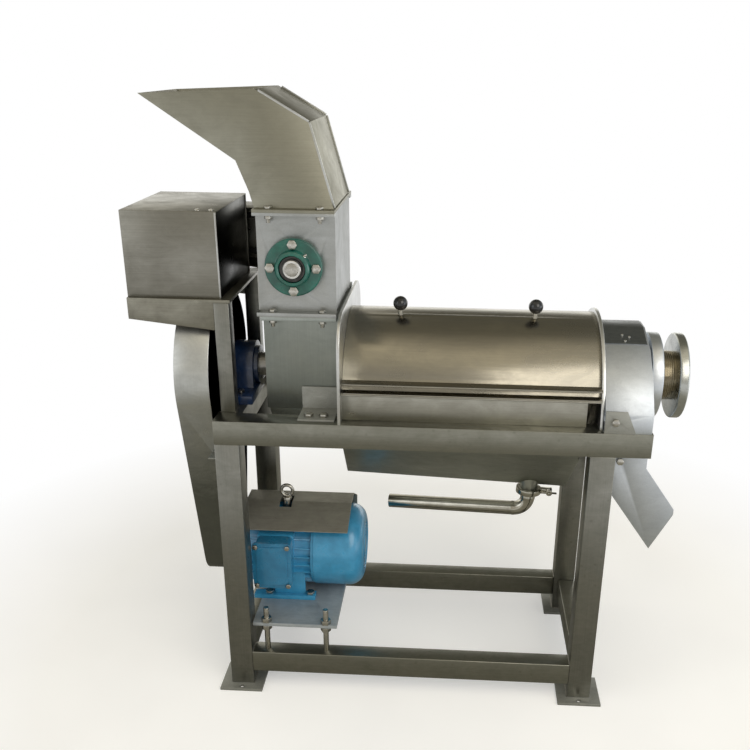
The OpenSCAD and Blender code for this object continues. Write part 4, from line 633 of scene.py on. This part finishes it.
sleeve_low, sleeve_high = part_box("threaded_sleeve")
sleeve_r, sleeve_l = (sleeve_high.z - sleeve_low.z) / 2, sleeve_high.x - sleeve_low.x
sleeve_bore, pitch, thread_depth = 34 * mm, 4 * mm, 0.7 * mm
thread = ((0.12, thread_depth), (0.38, 0), (0.62, 0), (0.88, thread_depth))
sleeve_metal = stainless("oiled_sleeve", "7c745f", "ab9f86", 0.2, even, line_mm=1.4, line_depth=0.06,
                         mottle_mm=26)
sleeve = bmesh.new()
profile = [(sleeve_bore, 0)]
place = 0.0
while place + pitch < sleeve_l:
    profile += [(sleeve_r - depth, place + share * pitch) for share, depth in thread]
    place += pitch
profile += [(sleeve_r - thread_depth, sleeve_l), (sleeve_bore, sleeve_l), (sleeve_bore, 0)]
turned(sleeve, profile, press_axis + Vector((sleeve_low.x, 0, 0)), (1, 0, 0), 72)
finished("thread_of_sleeve", sleeve, sleeve_metal, "hand_wheel", "turned_steel", "threaded_sleeve",
         sharp=25)

# ---------------------------------------------------------------- Juice way
# Folded trough under the basket, a turned spout with a clamp and a polished pipe that swings
# over the bucket. The trough is grey and splashed, and the pipe is bright drawn tube.
trough_sheet = stainless("trough_sheet", "9a9c94", "b3b5ac", 0.4, along_x, line_depth=0.08, stain=1.0,
                         mottle_mm=90, speck=0.35)
pipe_metal = stainless("polished_tube", "979488", "b8b5a9", 0.15, even, line_mm=1.2, line_depth=0.03,
                       stain=0.5, mottle_mm=30)
eased("juice_trough", trough_sheet, 0.8 * mm)
eased("juice_pipe", pipe_metal, 0.4 * mm)
for node in ("clamp_ring", "clamp_wing_nut"):
    eased(node, pipe_metal, 0.6 * mm)

# ---------------------------------------------------------------- Main motor
# Cast aluminium motor in blue enamel with cooling fins. A pressed steel cowl with a rounded end
# and a slotted grille covers its fan, and a cast terminal box stands on its front.
motor_blue = enamel("motor_blue", "3f9cc9", "2f86b0", 0.3, peel_mm=4.0, dusty=0.12)
motor_axis_z = sum(corner.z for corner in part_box("motor_shaft")) / 2
eased("motor_body", motor_blue, 0.6 * mm)
cowl_low, cowl_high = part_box("fan_cowl")
cowl_r = (cowl_high.y - cowl_low.y) / 2
cowl_l = cowl_high.x - cowl_low.x
cowl_t, round_r, brim = 1.5 * mm, 34 * mm, 4 * mm
cowl_seat, cowl_axis = (cowl_low.x, 0, motor_axis_z), (1, 0, 0)
cowl = bmesh.new()
outer = [(cowl_r - 0.6 * mm, 0), (cowl_r, 1.0 * mm), (cowl_r, cowl_l - round_r - brim)]
shoulder = arc((cowl_r - round_r - brim, cowl_l - round_r), round_r, 0, 90, 10)
outer += [(min(r + brim, cowl_r), z) for r, z in shoulder]
grille = [54 * mm, 47 * mm, 40 * mm, 33 * mm, 26 * mm]
inner = [(r - cowl_t, min(z, cowl_l - cowl_t)) for r, z in reversed(outer)]
lip = grille[0] + brim
profile = outer + [(lip, cowl_l), (lip - 0.8 * mm, cowl_l - cowl_t / 2), (lip, cowl_l - cowl_t)] + inner
turned(cowl, profile + [outer[0]], cowl_seat, cowl_axis, 96)
wire, wire_in = 1.5 * mm, 1.6 * mm
for r in grille:
    turned(cowl, arc((r, cowl_l - wire_in), wire, 0, 360, 8), cowl_seat, cowl_axis, 64)
hub_r, hub_back = 20 * mm, cowl_l - 2.6 * mm
hub = [(0, hub_back), (hub_r, hub_back), (hub_r, cowl_l - 0.8 * mm), (hub_r - 2 * mm, cowl_l),
       (0, cowl_l)]
turned(cowl, hub, cowl_seat, cowl_axis, 48)
spokes, spoke_start, spoke_in = 8, 16 * mm, 1.9 * mm
for i in range(spokes):
    spoke = bmesh.ops.create_cube(cowl, size=1.0)["verts"]
    bmesh.ops.scale(cowl, verts=spoke, vec=(1.8 * mm, 4 * mm, lip - spoke_start))
    bmesh.ops.translate(cowl, verts=spoke, vec=(cowl_high.x - spoke_in, 0, (lip + spoke_start) / 2))
    bmesh.ops.rotate(cowl, verts=spoke, matrix=Matrix.Rotation(i * math.tau / spokes, 3, "X"))
    bmesh.ops.translate(cowl, verts=spoke, vec=(0, 0, motor_axis_z))
finished("fan_cowl_pressed", cowl, motor_blue, "motor_base", "motor_paint", "fan_cowl", sharp=30)


def rounded_slab(mesh, low, high, corner, edge, axis):
    """A block from low to high with its corners along an axis rounded, and its outer edges eased."""
    verts = bmesh.ops.create_cube(mesh, size=1.0)["verts"]
    size, middle = high - low, (high + low) / 2
    bmesh.ops.scale(mesh, verts=verts, vec=size)
    bmesh.ops.translate(mesh, verts=verts, vec=middle)
    edges = {e for v in verts for e in v.link_edges}
    upright = [e for e in edges if abs((e.verts[0].co - e.verts[1].co)[axis]) > size[axis] * 0.9]
    rounded = bevelled(mesh, upright, corner, 5)
    faces = {f for v in verts if v.is_valid for f in v.link_faces} | set(rounded)
    around = {e for f in faces for e in f.edges if e.calc_face_angle(0.0) > math.radians(60)}
    bevelled(mesh, around, edge, 3)


box_low, box_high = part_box("terminal_box")
lid_low, lid_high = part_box("terminal_lid")
# The terminal box and lid take a darker copy of the motor's blue, a painted shade for the darker reflection
# on them.
box_blue = enamel("motor_blue_painted_darker", "2d80a9", "216c93", 0.28, peel_mm=4.0, dusty=0.1)
casting = bmesh.new()
rounded_slab(casting, box_low, box_high, 8 * mm, 0.8 * mm, 1)
finished("terminal_box_cast", casting, box_blue, "motor_base", "motor_paint", "terminal_box")
lid = bmesh.new()
lid_corner, step, step_up, step_t = 9 * mm, 9 * mm, 2.2 * mm, 4 * mm
rounded_slab(lid, lid_low + Vector((0, step_up, 0)), lid_high, lid_corner, 1.2 * mm, 1)
rounded_slab(lid, lid_low + Vector((step, 0, step)),
             Vector((lid_high.x - step, lid_low.y + step_t, lid_high.z - step)), lid_corner, 2.0 * mm, 1)
finished("terminal_lid_cast", lid, box_blue, "motor_base", "motor_paint", "terminal_lid")
fan_plastic = moulded("fan_plastic", "151516", 0.4)
wear("motor_fan", fan_plastic)

# Bent sheet over the motor, and the lifting eye in its notch.
motor_cover_sheet = stainless("motor_cover_sheet", "8a887e", "aaa79b", 0.44, along_x, line_depth=0.08,
                              stain=0.9, mottle_mm=60, film=0.45)
eased("motor_cover", motor_cover_sheet, 0.8 * mm, sharp=8, crease=8)
eased("eyebolt", bright_zinc, 0.3 * mm)

# ---------------------------------------------------------------- Fasteners
# Hexagon bolts, nuts and threaded rods, bright stainless, with their corners turned off.
hex_metal = stainless("bolt_metal", "85837c", "d2cfc6", 0.24, even, line_mm=0.8, line_depth=0.05,
                      mottle_mm=7)
for node in ("hex_bolts", "hex_nuts", "motor_screws", "lifting_rods", "lifting_nuts"):
    eased(node, hex_metal, 0.5 * mm, sharp=50)

# ---------------------------------------------------------------- Studio
# A seamless pale floor, white to the camera but shaded under the machine, and three soft
# lamps. Near the machine the floor that metal mirrors is painted darker, a painted shade. The camera
# stands where the photo was taken from.
camera = bpy.data.cameras.new("photo_view")
eye_place = (0.07537, -1.82182, 1.30955)
sensor_mm, lens_mm, lens_shift = 36.0, 42.895, (-0.04585, 0.07387)
camera.sensor_width, camera.lens = sensor_mm, lens_mm
camera.shift_x, camera.shift_y = lens_shift
camera.clip_end = 50.0
eye = bpy.data.objects.new("photo_view", camera)
bpy.context.scene.collection.objects.link(eye)
yaw, pitch_down, roll = -0.0477, 0.3942, 0.0135
forward = Vector((math.sin(yaw) * math.cos(pitch_down), math.cos(yaw) * math.cos(pitch_down),
                  -math.sin(pitch_down)))
right = Vector((math.cos(yaw), -math.sin(yaw), 0))
up = right.cross(forward)
across = math.cos(roll) * right + math.sin(roll) * up
upward = -math.sin(roll) * right + math.cos(roll) * up
eye.matrix_world = Matrix.Translation(eye_place) @ Matrix(
    (across, upward, -forward)).transposed().to_4x4()
bpy.context.scene.camera = eye

floor_half = 12.0
floor_mesh = bmesh.new()
bmesh.ops.create_grid(floor_mesh, x_segments=1, y_segments=1, size=floor_half)
floor_data = bpy.data.meshes.new("studio_floor")
floor_mesh.to_mesh(floor_data)
floor_mesh.free()
floor = bpy.data.objects.new("studio_floor", floor_data)
bpy.context.scene.collection.objects.link(floor)
floor_paint, tree = new_material("pale_floor")
speckle = add(tree, "TexNoise", Vector=at_size(tree, 240), Scale=1.0, Detail=3.0).outputs["Fac"]
seen = add(tree, "LightPath")
far_off = add(tree, "VectorMath", {"operation": "LENGTH"},
              in_0=add(tree, "TexCoord").outputs["Object"]).outputs["Value"]


def product(tree, one, other):
    """Two values multiplied."""
    return add(tree, "Math", {"operation": "MULTIPLY"}, in_0=one, in_1=other).outputs[0]


def blended(tree, share, under, over):
    """One colour over another by a share."""
    return add(tree, "Mix", {"data_type": "RGBA"}, in_0=share, in_6=under, in_7=over).outputs[2]


# The floor fades to plain white between these distances from the machine, sooner for the camera
# than for what metal mirrors.
camera_fade, mirror_fade, camera_glow = (0.85, 1.5), (1.2, 2.6), 0.35
shade = ramp(tree, speckle, (0.3, linear("dcdbd8")), (0.7, linear("e2e1de")))
# Rays that metal mirrors see the floor painted a darker grey, a painted shade, until it fades to white.
shade = blended(tree, seen.outputs["Is Glossy Ray"], shade, linear("adaba2"))
matt = add(tree, "BsdfDiffuse", Color=shade)
glow = add(tree, "Emission", Color=linear("ffffff"),
           Strength=product(tree, seen.outputs["Is Camera Ray"], camera_glow))
near = add(tree, "AddShader", in_0=matt.outputs[0], in_1=glow.outputs[0])
fade = add(tree, "Math", {"operation": "ADD", "use_clamp": True},
           in_0=product(tree, span(tree, far_off, 0.0, 1.0, *camera_fade), seen.outputs["Is Camera Ray"]),
           in_1=product(tree, span(tree, far_off, 0.0, 1.0, *mirror_fade), seen.outputs["Is Glossy Ray"]))
close(tree, add(tree, "MixShader", in_0=fade.outputs[0], in_1=near.outputs[0],
                in_2=add(tree, "Emission", Color=linear("ffffff"), Strength=1.0).outputs[0]))
floor_data.materials.append(floor_paint)

# The world is a plain room: a pale wall and ceiling in front, a dim hall behind the machine with
# a bright band of windows low down in it, and cool light on the right. Brushed steel shows these
# as broad soft bands.
room_light, window_light = 1.15, 1.7
world = bpy.data.worlds.new("studio")
bpy.context.scene.world = world
world.use_nodes = True
tree = world.node_tree
tree.nodes.clear()
seen = add(tree, "LightPath")
# Directions run from -1 to 1 on each axis: x to the right, y to the back and z up.
way = add(tree, "SeparateXYZ", in_0=add(tree, "TexCoord").outputs["Generated"]).outputs
room = ramp(tree, span(tree, way[2], 0.0, 1.0, -0.25, 1.0), (0.0, linear("8f8b84")),
            (0.2, linear("c2bfb7")), (0.36, linear("d0ccc2")), (0.6, linear("b9b6af")),
            (0.725, linear("c0bbb0")), (0.83, linear("d4cdba")), (0.9, linear("eae1cb")),
            (0.96, linear("e2d9c4")), (1.0, linear("aaa495")))
hall = product(tree, span(tree, way[1], 0.0, 1.0, -0.06, 0.26), span(tree, way[2], 0.0, 0.88, 0.14, 0.34))
room = blended(tree, hall, room, linear("5c5b50"))
room = blended(tree, span(tree, way[0], 0.0, 1.0, 0.4, 0.9), room, linear("d2d8dd"))
room = blended(tree, span(tree, way[0], 0.0, 0.9, -0.5, -0.95), room, linear("dfe1df"))
left = product(tree, span(tree, way[1], 0.0, 1.0, 0.2, 0.5), span(tree, way[0], 0.8, 0.0, -0.26, -0.12))
room = blended(tree, product(tree, left, span(tree, way[2], 1.0, 0.0, 0.5, 0.75)), room, linear("f4f0e4"))
window = product(tree, span(tree, way[1], 0.0, 1.0, 0.1, 0.5), span(tree, way[2], 1.0, 0.0, 0.13, 0.26))
plain = add(tree, "MixShader", in_0=window,
            in_1=add(tree, "Background", Color=room, Strength=room_light).outputs[0],
            in_2=add(tree, "Background", Color=linear("fbfaf4"), Strength=window_light).outputs[0])
white = add(tree, "Background", Color=linear("ffffff"), Strength=1.0)
mixed = add(tree, "MixShader", in_0=seen.outputs["Is Camera Ray"], in_1=plain.outputs[0],
            in_2=white.outputs[0])
add(tree, "OutputWorld", Surface=mixed.outputs[0])


def lamp(name, place, aim, size, watts, colour="ffffff"):
    """A soft rectangular lamp aimed at a point."""
    light = bpy.data.lights.new(name, "AREA")
    light.shape, light.size, light.size_y, light.energy = "RECTANGLE", size[0], size[1], watts
    light.color = linear(colour)[:3]
    made = bpy.data.objects.new(name, light)
    bpy.context.scene.collection.objects.link(made)
    made.location = place
    made.rotation_euler = (Vector(aim) - Vector(place)).to_track_quat("-Z", "Y").to_euler()


middle = (0, 0, 0.6)
lamp("key", (1.7, -2.4, 2.4), middle, (2.2, 2.2), 38, "fffaf2")
lamp("fill", (-2.6, -1.8, 1.5), middle, (1.6, 1.8), 9, "f2f6ff")
lamp("window", (3.2, -0.6, 0.8), middle, (1.6, 1.6), 15, "f2f7ff")
bpy.context.scene.view_settings.view_transform = "Standard"
